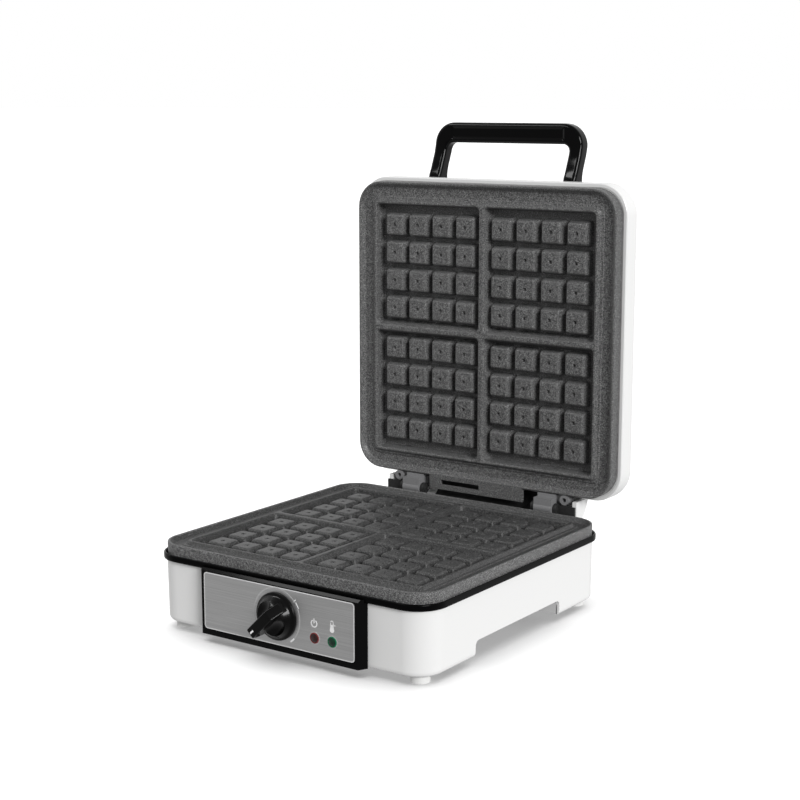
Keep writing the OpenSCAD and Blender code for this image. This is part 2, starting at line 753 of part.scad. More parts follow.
module lid_shell() color("whitesmoke") opened() difference() {
    shell_outer();
    translate([0, 0, lid_ledge + ledge_t])
        soft_block(shell_w - 2 * wall, shell_w - 2 * wall, shell_h - ledge_t - 0.5 - 2.6, shell_r - wall, shell_edge - wall);
    slab(2 * ledge_half, 2 * ledge_half, 10, shell_z - eps, lid_ledge + ledge_t + eps);
    slab(plate_w + 0.6, plate_w + 0.6, plate_r + 0.3, shell_z - eps, lid_ledge);
    at_corners(lug, lug) translate([0, 0, shell_z - 1]) cylinder(r = 1.7 + slip, h = 6);
    both_sides() {
        translate([arm_in - 0.3, shell_half - wall - eps, lid_ledge + ledge_t])
            cube([arm_out - arm_in + 0.6, wall + 2 * eps, 3.6]);
        for (x = [66, 76]) translate([x, 128, shell_z - 1]) cylinder(r = 1.5 + thread, h = 6);
        for (y = handle_screw_y) translate([handle_screw_x, y, shell_top - 5]) cylinder(r = 1.5 + slip, h = 8);
    }
    translate([lid_wire_x, shell_half + eps, lid_wire_z]) rotate([90, 0, 0]) cylinder(r = 1.4, h = 6);
}

module upper_plate() color("dimgray") in_lid() {
    plate_casting();
    rear_flange();
}

module upper_plate_screws() color("silver") opened() at_corners(lug, lug)
    translate([0, 0, lid_ledge + ledge_t]) screw(3.2, 2, 1.7, 6.2);

module upper_element() color("gray") in_lid() element_loop();

module upper_element_clamp() color("silver") in_lid() clamp_sheet();

module upper_clamp_screws() color("silver") in_lid() clamp_screws();

module upper_reflector() color("lightsteelblue") in_lid() reflector_tray();

module upper_reflector_screws() color("silver") in_lid() tray_screws();

// Sleeve from the hinge axis into the lid, then a lead to each of the heater's cold ends
module lid_wires() color("black") opened() {
    lead([[lid_wire_x, hinge_y, hinge_z], [lid_wire_x, 143.5, 80], [lid_wire_x, 142, lid_wire_z],
        [lid_wire_x, 128, lid_wire_z]], 1.1);
    for (s = [-1, 1]) lead([[lid_wire_x, 128, lid_wire_z], [s * 14, 117, 90.5],
        [s * 12, 109.6, upper_lip - tube_z]], 1.1);
}

// Eased step from a to b as y runs from y0 to y1
function ease(y, y0, y1, a, b) = a + (b - a) * (1 - cos(180 * (y - y0) / (y1 - y0))) / 2;

// Side outline of the handle: bar, leaning leg and the foot on the lid
module handle_section() {
    top = bar_z + handle_t / 2;
    low = bar_z - handle_t / 2;
    bend = bar_front + 17;
    root = -shell_half;
    flare = 3;
    steps = 10;
    ys = [for (i = [0:steps]) bend + (root - bend) * i / steps];
    polygon(concat(
        [[bar_front, low]],
        [for (y = ys) [y, ease(y, bend, root, low, low - leg_drop)
            - flare * pow(max(0, (y - bend) / (root - bend) * 3 - 2), 2)]],
        [[root + 10, shell_z + shell_h - 8], [root + 10, shell_top + 0.1], [root + 29, shell_top + 0.1],
            [root + 29, shell_top + 3], [root + 24, shell_top + 6.5], [root + 18, top - leg_drop]],
        [for (i = [steps:-1:0]) [ys[i], ease(ys[i], bend, root, top, top - leg_drop)]],
        [[bar_front, top]]
    ));
}

// Plan of the handle: two legs joined by the bar
module handle_plan() {
    back = -shell_half + 29;
    mid = (bar_front + back) / 2;
    length = back - bar_front;
    inner_front = bar_front + bar_d;
    difference() {
        union() {
            translate([0, bar_front + 40]) rounded_rect(2 * handle_half, 80, 20);
            translate([-handle_half, bar_front + 40]) square([2 * handle_half, length - 40]);
        }
        translate([0, inner_front + 40]) rounded_rect(2 * (handle_half - leg_w), 80, 7);
        translate([-(handle_half - leg_w), inner_front + 40]) square([2 * (handle_half - leg_w), length]);
    }
}

module handle() color("#0c0c0c") opened() difference() {
    intersection() {
        translate([0, 0, shell_z]) linear_extrude(60) handle_plan();
        along_x(-handle_half, handle_half) handle_section();
    }
    shell_outer();
    translate([-59, bar_front + 3, bar_z - handle_t / 2 - 1]) cube([118, 12.5, 1.7]);
    both_sides() for (y = handle_screw_y)
        translate([handle_screw_x, y, shell_top - 1]) cylinder(r = 1.5 + thread, h = 7);
}

module handle_screws() color("silver") opened() both_sides() for (y = handle_screw_y)
    translate([handle_screw_x, y, shell_top - 2.6]) rotate([180, 0, 0]) screw(3, 1.8, 1.5, 8);

// Cast arm: barrel on the hinge axis, block behind the plate, web with a tongue into the lid,
// and a shoulder with a screw boss beside it
module hinge_arms() color("darkgray") opened() both_sides() difference() {
    union() {
        along_x(arm_in, arm_out) {
            translate([hinge_y, hinge_z]) circle(barrel_r);
            translate([plate_half + 0.7, upper_lip + 0.5])
                square([hinge_y - plate_half - 0.7, shell_z - upper_lip - 1]);
            translate([arm_front, hinge_z - 6.3]) square([hinge_y - arm_front, 12]);
            translate([shell_half + 0.3, hinge_z]) square([hinge_y - shell_half - 1.6, tongue_z + 3.3 - hinge_z]);
            translate([122, tongue_z + 0.4]) square([shell_half - 121, 2.9]);
        }
        translate([arm_out - 1, plate_half + 0.7, upper_lip + 4.6]) cube([6.5, 6.8, shell_z - upper_lip - 5.1]);
        translate([boss_x, boss_y, upper_lip + 0.5]) cylinder(r = boss_r, h = shell_z - upper_lip - 0.8);
    }
    translate([50, hinge_y, hinge_z]) rotate([0, 90, 0]) cylinder(r = bush_r + 0.02, h = 50);
    translate([boss_x, boss_y, upper_lip]) cylinder(r = 2, h = 8);
    for (x = [66, 76]) translate([x, 128, tongue_z - 1]) cylinder(r = 1.5 + slip, h = 6);
}

module hinge_arm_screws() color("silver") opened() both_sides() for (x = [66, 76])
    translate([x, 128, tongue_z + 3.3]) screw(2.8, 1.7, 1.5, 5.4);

module hinge_bushes() color("goldenrod") both_sides() translate([arm_in, hinge_y, hinge_z]) rotate([0, 90, 0])
    difference() {
        cylinder(r = bush_r, h = arm_out - arm_in);
        translate([0, 0, -1]) cylinder(r = pin_r + run, h = 40);
    }

// ---------- knob, drawn about its axis with the back face at z = 0 and the pointer along +X ----------

module at_knob() {
    translate([0, knob_back, knob_z]) rotate([90, 0, 0]) rotate([0, 0, 225]) children();
}

module knob() color("#101010") at_knob() difference() {
    top = knob_h - 0.5;
    union() {
        rotate_extrude() polygon([
            [0, 0], [knob_r, 0], [knob_r, 2], [knob_r - 1.2, 3], [13, 5.4], [10, 8.6], [8.5, 11.5], [0, 11.5]
        ]);
        rotate([90, 0, 0]) translate([0, 0, -4.3]) linear_extrude(8.6) polygon([
            [-16, 1], [-15.4, 9], [-7.6, top - 0.6], [-6, top], [16.4, top], [17.6, top - 1.5], [18.2, 1]
        ]);
    }
    translate([0, 0, -1]) cylinder(r = spindle_r + 0.02, h = 10);
    translate([14, 0, top]) cube([4, 1.5, 0.8], center = true);
}

module knob_pointer() color("white") at_knob() translate([14, 0, knob_h - 0.5 - 0.19])
    cube([3.96, 1.46, 0.38], center = true);

module thermostat_spindle() color("silver") translate([0, thermostat_y + 11, knob_z]) rotate([90, 0, 0])
    cylinder(r = spindle_r, h = thermostat_y + 11 - knob_back + 8.5);

// ---------- the nodes ----------

on_origin() base_housing();
on_origin() base_cover();
on_origin() feet();
on_origin() cover_screws();
on_origin() rim_frame();
on_origin() lower_plate();
on_origin() lower_plate_screws();
on_origin() lower_element();
on_origin() lower_element_clamp();
on_origin() lower_clamp_screws();
on_origin() lower_reflector();
on_origin() lower_reflector_screws();
on_origin() thermal_fuse();
on_origin() sensor_bulb();
on_origin() control_panel();
on_origin() fascia();
on_origin() panel_screws();
on_origin() power_lens();
on_origin() ready_lens();
on_origin() neon_lamps();
on_origin() thermostat();
on_origin() thermostat_bracket();
on_origin() thermostat_screws();
on_origin() terminal_block();
on_origin() base_wires();
on_origin() cord_gland();
on_origin() cord_clamp();
on_origin() cord_clamp_screws();
on_origin() hinge_housing();
on_origin() hinge_housing_screws();
on_origin() hinge_brackets();
on_origin() hinge_bracket_screws();
on_origin() hinge_pins();
on_origin() lid_shell();
on_origin() upper_plate();
on_origin() upper_plate_screws();
on_origin() upper_element();
on_origin() upper_element_clamp();
on_origin() upper_clamp_screws();
on_origin() upper_reflector();
on_origin() upper_reflector_screws();
on_origin() lid_wires();
on_origin() handle();
on_origin() handle_screws();
on_origin() hinge_arms();
on_origin() hinge_arm_screws();
on_origin() hinge_bushes();
on_origin() knob();
on_origin() knob_pointer();
on_origin() thermostat_spindle();
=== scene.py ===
import json
import math

import bmesh
import bpy
from mathutils import Matrix, Vector


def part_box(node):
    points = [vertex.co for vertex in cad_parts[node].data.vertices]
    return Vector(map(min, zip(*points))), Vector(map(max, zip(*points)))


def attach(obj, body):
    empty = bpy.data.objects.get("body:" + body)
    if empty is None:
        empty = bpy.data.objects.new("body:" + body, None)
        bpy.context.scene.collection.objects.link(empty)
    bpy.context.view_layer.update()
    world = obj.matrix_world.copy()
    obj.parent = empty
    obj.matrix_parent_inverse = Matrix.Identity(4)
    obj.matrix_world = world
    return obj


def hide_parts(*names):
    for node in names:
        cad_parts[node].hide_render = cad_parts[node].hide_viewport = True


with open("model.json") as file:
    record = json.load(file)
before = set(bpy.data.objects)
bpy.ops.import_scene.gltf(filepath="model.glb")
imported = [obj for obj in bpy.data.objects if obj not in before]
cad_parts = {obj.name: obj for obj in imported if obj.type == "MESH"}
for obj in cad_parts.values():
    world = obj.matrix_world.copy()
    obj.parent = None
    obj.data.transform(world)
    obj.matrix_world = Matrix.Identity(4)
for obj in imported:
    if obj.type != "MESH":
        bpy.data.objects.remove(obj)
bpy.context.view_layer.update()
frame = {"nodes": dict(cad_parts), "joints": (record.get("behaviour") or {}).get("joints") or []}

# ---------------------------------------------------------------- places, in mm about the middle of the base
_low, _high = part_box("base_housing")
BASE_Y = (_low[1] + _high[1]) * 500
BASE_LOW, BASE_TOP = _low[2] * 1000, _high[2] * 1000
JOINT_AT = {joint["name"]: joint["pos_m"] for joint in frame["joints"]}
HINGE_Y = JOINT_AT["lid_hinge"][1] * 1000 - BASE_Y
HINGE_Z = JOINT_AT["lid_hinge"][2] * 1000
KNOB_Z = JOINT_AT["knob_turn"][2] * 1000
LIP_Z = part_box("lower_plate")[1][2] * 1000
FASCIA_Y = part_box("fascia")[0][1] * 1000 - BASE_Y


def closed_height(y):
    """Height on the closed lid of what stands y metres back on the open lid."""
    return y * 1000 - BASE_Y - HINGE_Y + HINGE_Z


UPPER_LIP = closed_height(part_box("upper_plate")[0][1])
SHELL_LOW = closed_height(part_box("lid_shell")[0][1])
SHELL_TOP = closed_height(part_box("lid_shell")[1][1])

# from millimetres into the frame: the base, the lid (built closed and swung open), the upper plate (built face up)
# and the fascia (x to the right, y up, z out towards the user)
PLACED = Matrix.Translation((0, BASE_Y / 1000, 0)) @ Matrix.Scale(0.001, 4)
OPENED = (PLACED @ Matrix.Translation((0, HINGE_Y, HINGE_Z)) @ Matrix.Rotation(-math.pi / 2, 4, "X")
          @ Matrix.Translation((0, -HINGE_Y, -HINGE_Z)))
MIRRORED = OPENED @ Matrix.Translation((0, 0, UPPER_LIP)) @ Matrix.Scale(-1, 4, (0, 0, 1))
FACE = PLACED @ Matrix.Translation((0, FASCIA_Y, 0)) @ Matrix.Rotation(math.pi / 2, 4, "X")


# ---------------------------------------------------------------- mesh helpers
WELD, SEAM = 1e-4, 1e-3  # what lies closer together than this, in mm, becomes one: in a piece, along a mirror's seam


def grid(bm, loops, closed=True):
    """Joins loops of equal length with quads and returns the rows of vertices."""
    rows = [[bm.verts.new(p) for p in loop] for loop in loops]
    n = len(rows[0])
    for a, b in zip(rows, rows[1:]):
        for i in range(n if closed else n - 1):
            j = (i + 1) % n
            bm.faces.new((a[i], a[j], b[j], b[i]))
    return rows


def cap(bm, row):
    """Closes a loop with a fan about its middle."""
    mid = sum((v.co for v in row), Vector()) / len(row)
    c = bm.verts.new(mid)
    for i, v in enumerate(row):
        bm.faces.new((v, row[(i + 1) % len(row)], c))


def prism(loops):
    """Solid through the loops, closed with a flat face at either end."""
    bm = bmesh.new()
    rows = grid(bm, loops)
    bm.faces.new(list(reversed(rows[0])))
    bm.faces.new(rows[-1])
    return bm


def arc(cx, cy, r, a0, a1, k):
    """Points of an arc from a0 to a1 degrees, in k steps."""
    return [(cx + r * math.cos(math.radians(a0 + (a1 - a0) * i / k)),
             cy + r * math.sin(math.radians(a0 + (a1 - a0) * i / k))) for i in range(k + 1)]


def circle(cx, cy, r, n):
    return [(cx + r * math.cos(i * math.tau / n), cy + r * math.sin(i * math.tau / n)) for i in range(n)]


def round_rect(hx, hy, r, k=12, cx=0.0, cy=0.0):
    """Outline of a rounded rectangle with half sides hx and hy, counter-clockwise, k steps in each corner."""
    r = max(r, 0.01)
    out = []
    for sx, sy, a in ((1, -1, -90), (1, 1, 0), (-1, 1, 90), (-1, -1, 180)):
        out += arc(cx + sx * (hx - r), cy + sy * (hy - r), r, a, a + 90, k)
    return out


def lift(outline, z):
    """The outline laid flat at height z."""
    return [(x, y, z) for x, y in outline]


def upright(outline, y):
    """The outline stood up in the plane at depth y."""
    return [(x, y, z) for x, z in outline]


def across(outline, x):
    """The outline stood up in the plane at x."""
    return [(x, y, z) for y, z in outline]


def fillet(points, r, k=4):
    """Rounds the corners of an open section line. r is one radius or one for each inner point."""
    rs = r if isinstance(r, (list, tuple)) else [r] * (len(points) - 2)
    out = [points[0]]
    for i in range(1, len(points) - 1):
        p, q, s = (Vector(points[j]) for j in (i - 1, i, i + 1))
        rad = rs[i - 1]
        u, v = (p - q), (s - q)
        if rad <= 0 or u.length < 1e-6 or v.length < 1e-6:
            out.append(tuple(q))
            continue
        lu, lv = u.length, v.length
        u.normalize()
        v.normalize()
        ang = u.angle(v)
        if ang > math.radians(178):
            out.append(tuple(q))
            continue
        d = min(rad / math.tan(ang / 2), 0.49 * lu, 0.49 * lv)
        rr = d * math.tan(ang / 2)
        c = q + (u + v).normalized() * (rr / math.sin(ang / 2))
        a, b = q + u * d - c, q + v * d - c
        for j in range(k + 1):
            t = j / k
            w = (a * (1 - t) + b * t)
            if w.length < 1e-9:
                continue
            sl = a.angle(b)
            w = (a * math.sin((1 - t) * sl) + b * math.sin(t * sl)) / math.sin(sl) if sl > 1e-6 else a
            out.append(tuple(c + w))
    out.append(points[-1])
    return out


def add(name, data):
    """A new object in the scene."""
    ob = bpy.data.objects.new(name, data)
    bpy.context.scene.collection.objects.link(ob)
    return ob


def loose(bm, name, place):
    """Object with outward faces that rides on nothing yet, such as a cutter."""
    bmesh.ops.recalc_face_normals(bm, faces=bm.faces)
    me = bpy.data.meshes.new(name)
    bm.to_mesh(me)
    bm.free()
    me.transform(place)
    if place.determinant() < 0:
        me.flip_normals()
    return add(name, me)


def shade(ob, sharp):
    """Smooth shading, with hard edges where faces meet at more than so many degrees."""
    for p in ob.data.polygons:
        p.use_smooth = True
    ob.data.set_sharp_from_angle(angle=math.radians(sharp))


def finish_mesh(bm, name, place, body, sharp=40):
    """Piece that rides on a body."""
    bmesh.ops.remove_doubles(bm, verts=bm.verts, dist=WELD)
    bmesh.ops.dissolve_degenerate(bm, edges=bm.edges, dist=WELD)
    ob = loose(bm, name, place)
    shade(ob, sharp)
    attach(ob, body)
    return ob


def weighted(ob):
    """Evens out the shading round bevels and fillets."""
    ob.modifiers.new("weighted", "WEIGHTED_NORMAL").keep_sharp = True


def bevel(ob, width, segments, angle):
    """Rounds an object's edges sharper than an angle; width in mm."""
    m = ob.modifiers.new("rounding", "BEVEL")
    m.width = width / 1000
    m.segments = segments
    m.limit_method = "ANGLE"
    m.angle_limit = math.radians(angle)
    weighted(ob)


def cut(ob, cutters):
    """Takes the cutters out of the object for good, then drops them."""
    for c in cutters:
        m = ob.modifiers.new("cut", "BOOLEAN")
        m.object = c
        m.operation = "DIFFERENCE"
        m.solver = "EXACT"
    bpy.context.view_layer.update()
    dg = bpy.context.evaluated_depsgraph_get()
    me = bpy.data.meshes.new_from_object(ob.evaluated_get(dg))
    ob.modifiers.clear()
    old = ob.data
    ob.data = me
    me.name = old.name
    bpy.data.meshes.remove(old)
    for c in cutters:
        bpy.data.objects.remove(c)


# ---------------------------------------------------------------- materials
MIX_A, MIX_B, MIX_RESULT = 6, 7, 2  # a mix node's sockets for colours


def material(name, color, rough, metal=0.0, coat=0.0, spec=0.5, coat_rough=0.05):
    """Material of even colour, its node tree and its shader."""
    m = bpy.data.materials.new(name)
    m.use_nodes = True
    nt = m.node_tree
    b = nt.nodes["Principled BSDF"]
    b.inputs["Base Color"].default_value = (*color, 1)
    b.inputs["Roughness"].default_value = rough
    b.inputs["Metallic"].default_value = metal
    b.inputs["Coat Weight"].default_value = coat
    b.inputs["Coat Roughness"].default_value = coat_rough
    b.inputs["Specular IOR Level"].default_value = spec
    return m, nt, b


def node(nt, kind, **values):
    """Node with some of its inputs or settings given by name."""
    n = nt.nodes.new(kind)
    for k, v in values.items():
        if k in n.inputs:
            n.inputs[k].default_value = v
        else:
            setattr(n, k, v)
    return n


def coords(nt, scale=(1, 1, 1)):
    """The object's own coordinates, in metres, stretched by a scale."""
    t = node(nt, "ShaderNodeTexCoord")
    mp = node(nt, "ShaderNodeMapping", Scale=scale)
    nt.links.new(t.outputs["Object"], mp.inputs["Vector"])
    return mp.outputs["Vector"]


def noise(nt, vec, scale, detail=3.0, rough=0.5):
    n = node(nt, "ShaderNodeTexNoise", Scale=scale, Detail=detail, Roughness=rough)
    nt.links.new(vec, n.inputs["Vector"])
    return n.outputs["Fac"]


def ramp(nt, fac, stops):
    """Colour ramp through (position, colour) stops."""
    r = node(nt, "ShaderNodeValToRGB")
    els = r.color_ramp.elements
    while len(els) < len(stops):
        els.new(0.5)
    for e, (pos, col) in zip(els, stops):
        e.position = pos
        e.color = (*col, 1)
    nt.links.new(fac, r.inputs["Fac"])
    return r.outputs["Color"]


def map_range(nt, fac, **values):
    m = node(nt, "ShaderNodeMapRange", **values)
    nt.links.new(fac, m.inputs["Value"])
    return m.outputs["Result"]


def roughness(nt, b, fac, lo, hi):
    """Lets the shader's roughness run from lo to hi with a factor."""
    nt.links.new(map_range(nt, fac, **{"To Min": lo, "To Max": hi}), b.inputs["Roughness"])


def bump(nt, b, height, strength, distance):
    n = node(nt, "ShaderNodeBump", Strength=strength, Distance=distance)
    nt.links.new(height, n.inputs["Height"])
    nt.links.new(n.outputs["Normal"], b.inputs["Normal"])


def grey(v):
    return (v, v, v)


def toned(color, k):
    """The colour made darker or, up to white, lighter."""
    return tuple(min(1, x * k) for x in color)


def mottle(nt, b, fac, color, dark, light):
    """Lets the shader's colour run between two tones of one colour with a factor."""
    nt.links.new(ramp(nt, fac, [(0.3, toned(color, dark)), (0.7, toned(color, light))]), b.inputs["Base Color"])


def multiply(nt, one, other):
    both = node(nt, "ShaderNodeMath", operation="MULTIPLY")
    nt.links.new(one, both.inputs[0])
    nt.links.new(other, both.inputs[1])
    return both.outputs[0]


def plate_material(name, level):
    """Dark non-stick coating with fine stone-like speckle, lighter or darker by a level."""
    m, nt, b = material(name, grey(0.06), 0.5, spec=0.36)
    v = coords(nt)
    broad = noise(nt, v, 1250, 2.0, 0.7)
    tone = ramp(nt, broad, [(at, grey(x * level)) for at, x in ((0.34, 0.028), (0.5, 0.096), (0.66, 0.26))])
    cells = node(nt, "ShaderNodeTexVoronoi", Scale=900.0)
    nt.links.new(v, cells.inputs["Vector"])
    dots = ramp(nt, cells.outputs["Distance"], [(0.0, grey(1.0)), (0.16, grey(0.75)), (0.3, grey(0.0))])
    pick = noise(nt, v, 450, 2.0, 0.6)
    chosen = ramp(nt, pick, [(0.5, grey(0.0)), (0.62, grey(1.0))])
    mix = node(nt, "ShaderNodeMix", data_type="RGBA")
    nt.links.new(multiply(nt, dots, chosen), mix.inputs["Factor"])
    nt.links.new(tone, mix.inputs[MIX_A])
    mix.inputs[MIX_B].default_value = (0.56 * level, 0.56 * level, 0.555 * level, 1)
    nt.links.new(mix.outputs[MIX_RESULT], b.inputs["Base Color"])
    roughness(nt, b, broad, 0.38, 0.54)
    bump(nt, b, broad, 0.3, 0.0001)
    return m


def moulded(name, color, rough, coat=0.0, spec=0.5, texture=0.05, grain=2200, coat_rough=0.05, uneven=1.0):
    """Moulded plastic with a faint grain and slightly uneven gloss."""
    m, nt, b = material(name, color, rough, 0.0, coat, spec, coat_rough)
    v = coords(nt)
    fine = noise(nt, v, grain, 2.0)
    wide = noise(nt, v, 14, 3.0)
    roughness(nt, b, wide, max(rough - 0.03 * uneven, 0.02), rough + 0.05 * uneven)
    mottle(nt, b, fine, color, 1 - 0.025 * uneven, 1 + 0.02 * uneven)
    bump(nt, b, fine, texture, 0.00005)
    return m


def brushed(name, color, rough, stretch, metal, depth):
    """Brushed metal, with its lines along the axis whose stretch is small."""
    m, nt, b = material(name, color, rough, metal)
    v = coords(nt, stretch)
    lines = noise(nt, v, 1.0, 4.0, 0.65)
    mottle(nt, b, lines, color, 0.82, 1.14)
    roughness(nt, b, lines, rough - 0.06, rough + 0.1)
    bump(nt, b, lines, depth, 0.00003)
    return m


def cast(name, color, rough, metal):
    """Cast or rolled metal with a dull grain."""
    m, nt, b = material(name, color, rough, metal)
    v = coords(nt)
    grain = noise(nt, v, 1300, 3.0, 0.6)
    mottle(nt, b, grain, color, 0.8, 1.2)
    roughness(nt, b, grain, rough - 0.08, rough + 0.1)
    bump(nt, b, grain, 0.2, 0.00006)
    return m


def lens_material(name, color, bright):
    """Dark coloured plastic, brighter in places from what lies under it."""
    m, nt, b = material(name, color, 0.16, coat=0.25, spec=0.4)
    inner = noise(nt, coords(nt), 420, 2.0)
    nt.links.new(ramp(nt, inner, [(0.35, toned(color, 0.55)), (0.65, bright)]), b.inputs["Base Color"])
    return m


MAT = {
    "plate": plate_material("speckled_coating", 1.0),
    # painted shade: the darker coating on the lower plate's cooking face
    "lower": plate_material("painted_shade_coating", 0.5),
    # painted light: the lighter coating on the lower plate lip's outer wall
    "lip": plate_material("painted_light_lip_coating", 1.15),
    "white": moulded("white_plastic", (0.85, 0.85, 0.845), 0.26, coat=0.15, spec=0.4, texture=0.02,
                     coat_rough=0.15, uneven=0.2),
    "foot": moulded("foot_rubber", (0.80, 0.80, 0.79), 0.6, texture=0.2),
    "cover": moulded("cover_plastic", (0.60, 0.60, 0.60), 0.5, texture=0.25, grain=1500, uneven=0.5),
    "black": moulded("black_gloss", (0.0012, 0.0012, 0.0013), 0.1, spec=0.13, texture=0.01),
    "rim": moulded("rim_black", (0.002, 0.002, 0.0021), 0.12, spec=0.06, texture=0.01),
    "knob": moulded("knob_black", (0.002, 0.002, 0.002), 0.18, spec=0.2, texture=0.02),
    "gland": moulded("gland_rubber", (0.02, 0.02, 0.02), 0.6, texture=0.15),
    "fascia": brushed("brushed_fascia", (0.64, 0.64, 0.64), 0.36, (18, 900, 3400), 0.9, 0.15),
    # near-white edge round the fascia: a painted highlight along its rolled edge
    "rolled_edge_highlight": brushed("rolled_edge_highlight", (0.93, 0.93, 0.93), 0.45, (200, 900, 3400), 0.2, 0.05),
    "steel": brushed("plated_steel", (0.55, 0.55, 0.56), 0.32, (700, 700, 700), 1.0, 0.1),
    "sheet": brushed("rolled_aluminium", (0.72, 0.72, 0.73), 0.28, (30, 900, 900), 1.0, 0.1),
    "sheath": cast("heater_sheath", (0.16, 0.15, 0.145), 0.5, 0.8),
    "arm": cast("cast_arm", (0.24, 0.24, 0.245), 0.5, 0.15),
    # dark steel for the brackets and pins, and painted shade on the dark screens that fill the hinge gaps
    "bracket": cast("dark_bracket_and_shade", (0.03, 0.03, 0.03), 0.5, 0.3),
    "bronze": cast("sintered_bronze", (0.42, 0.27, 0.12), 0.5, 0.9),
    "copper": cast("drawn_copper", (0.6, 0.3, 0.18), 0.35, 1.0),
    "ceramic": moulded("ceramic", (0.70, 0.66, 0.56), 0.5, texture=0.2, grain=900),
    "wire": moulded("wire_sleeve", (0.70, 0.70, 0.66), 0.55, texture=0.25, grain=1800),
    "mark": moulded("white_print", (0.95, 0.95, 0.95), 0.5, texture=0.05),
    "halo": moulded("pale_print", (0.52, 0.52, 0.52), 0.45, texture=0.05),
    "red": lens_material("red_lens", (0.022, 0.008, 0.008), (0.045, 0.013, 0.013)),
    "green": lens_material("green_lens", (0.002, 0.022, 0.010), (0.004, 0.045, 0.021)),
    "red_rim": moulded("red_lens_rim", (0.20, 0.035, 0.035), 0.2, spec=0.4, texture=0.01),
    "green_rim": moulded("green_lens_rim", (0.006, 0.17, 0.075), 0.2, spec=0.4, texture=0.01),
    "lamp": moulded("lamp_glass", (0.7, 0.45, 0.3), 0.1, coat=1.0, texture=0.01),
}


def paint(ob, key):
    """Gives the object one material."""
    ob.data.materials.clear()
    ob.data.materials.append(MAT[key])


# what each CAD piece is made of; all others are plated steel
CAD_LOOK = {
    "base_cover": "cover", "feet": "foot", "control_panel": "black", "fascia": "fascia", "hinge_housing": "white",
    # the hinge brackets carry dark screens in the hinge gaps: painted shade in the bracket's colour
    "hinge_brackets": "bracket", "hinge_arms": "arm", "hinge_bushes": "bronze", "hinge_pins": "bracket",
    "lower_element": "sheath", "upper_element": "sheath", "lower_reflector": "sheet", "upper_reflector": "sheet",
    "lower_element_clamp": "sheet", "upper_element_clamp": "sheet", "thermostat": "ceramic",
    "terminal_block": "ceramic", "thermal_fuse": "ceramic", "cord_clamp": "ceramic", "cord_gland": "gland",
    "neon_lamps": "lamp", "sensor_bulb": "copper", "base_wires": "wire", "lid_wires": "gland",
    "knob_pointer": "mark", "power_lens": "red", "ready_lens": "green", "base_housing": "white",
    "lid_shell": "white", "rim_frame": "rim", "handle": "black", "knob": "knob",
    "lower_plate": "plate", "upper_plate": "plate",
}
for _name, _ob in frame["nodes"].items():
    paint(_ob, CAD_LOOK.get(_name, "steel"))


# ---------------------------------------------------------------- baking plates
PEG_X = [18.85, 44.45, 70.05, 95.65]
TILE_X = [7.45, 31.65, 57.25, 82.85, 107.6]
ARC = 4  # steps in a peg's rounded corner
CELL_FLOOR, CELL_EDGE, PLATE_BACK = -12, -0.5, -15.0  # heights, with the rolled lip at 0
PEG_FOOT, PEG_TOP = (11.4, 2.6), (7.3, 1.4)  # half side and corner radius
PEG_LINE = [(*PEG_FOOT, CELL_FLOOR), (11.32, 2.5, -11.6), (11.15, 2.4, -10.9), (10.9, 2.3, -9.8), (9.9, 2.1, -4.8),
            (9.6, 2.1, -3.8), (9.2, 2.0, -3.05), (8.7, 1.9, -2.5), (8.1, 1.7, -2.14), (*PEG_TOP, -2.0)]
DIMPLE_LINE = [(2.7, -2.0), (2.15, -2.1), (1.8, -2.5), (1.45, -3.6), (0.9, -4.3), (0.35, -4.45)]


def tile(bm, cx, cy, x0, x1, y0, y1):
    """One peg, from the edge of its patch of the cell's floor up and in to its dimple."""
    edge = []
    for i, (x, y) in enumerate(round_rect(PEG_FOOT[0], *PEG_FOOT, ARC, cx, cy)):
        corner, step = divmod(i, ARC + 1)
        px = x1 if corner in (0, 1) else x0
        py = y1 if corner in (1, 2) else y0
        if step * 2 == ARC:
            edge.append((px, py))
        elif (corner in (1, 3)) == (step < ARC / 2):
            edge.append((px, y))
        else:
            edge.append((x, py))
    loops = [lift(edge, CELL_FLOOR)]
    loops += [lift(round_rect(half, half, r, ARC, cx, cy), z) for half, r, z in PEG_LINE]
    angles = [math.atan2(y, x) for x, y in round_rect(PEG_TOP[0], *PEG_TOP, ARC)]
    loops += [[(cx + r * math.cos(a), cy + r * math.sin(a), z) for a in angles] for r, z in DIMPLE_LINE]
    rows = grid(bm, loops)
    cap(bm, rows[-1])


def side_steps():
    """Where the tiles' edge points lie along one side, from 0 to 1."""
    corner = round_rect(PEG_FOOT[0], *PEG_FOOT, ARC)[ARC + 1:][:ARC // 2]
    at = set(TILE_X)
    for c in PEG_X:
        for _, y in corner:
            at |= {round(c + y, 6), round(c - y, 6)}
    lo, hi = TILE_X[0], TILE_X[-1]
    return [(a - lo) / (hi - lo) for a in sorted(at)]


def square_loop(a, b, r, z, steps, outer=None):
    """Loop round [a, b] squared with the tiles' edge points along each side. The corner at (b, b) may be rounder."""
    o = r if outer is None else outer
    up = [a + r + t * (b - o - a - r) for t in steps]
    low = [a + r + t * (b - a - 2 * r) for t in steps]
    out = []
    corners = ((b - o, b - o, o, 0, 10), (a + r, b - r, r, 90, 4),
               (a + r, a + r, r, 180, 4), (b - r, a + r, r, 270, 4))
    sides = ([(b, v) for v in up], [(v, b) for v in reversed(up)],
             [(a, v) for v in reversed(low)], [(v, a) for v in low])
    for side, (cx, cy, rad, ang, k) in zip(sides, corners):
        out += side + arc(cx, cy, rad, ang, ang + 90, k)[1:-1]
    return lift(out, z)


def quarter_loop(x, r, z, steps, k=10):
    """The part of a centred loop that lies in the first quadrant."""
    run = [t * (x - r) for t in steps]
    out = [(x, v) for v in run] + arc(x - r, x - r, r, 0, 90, k)[1:-1] + [(v, x) for v in reversed(run)]
    return lift(out, z)


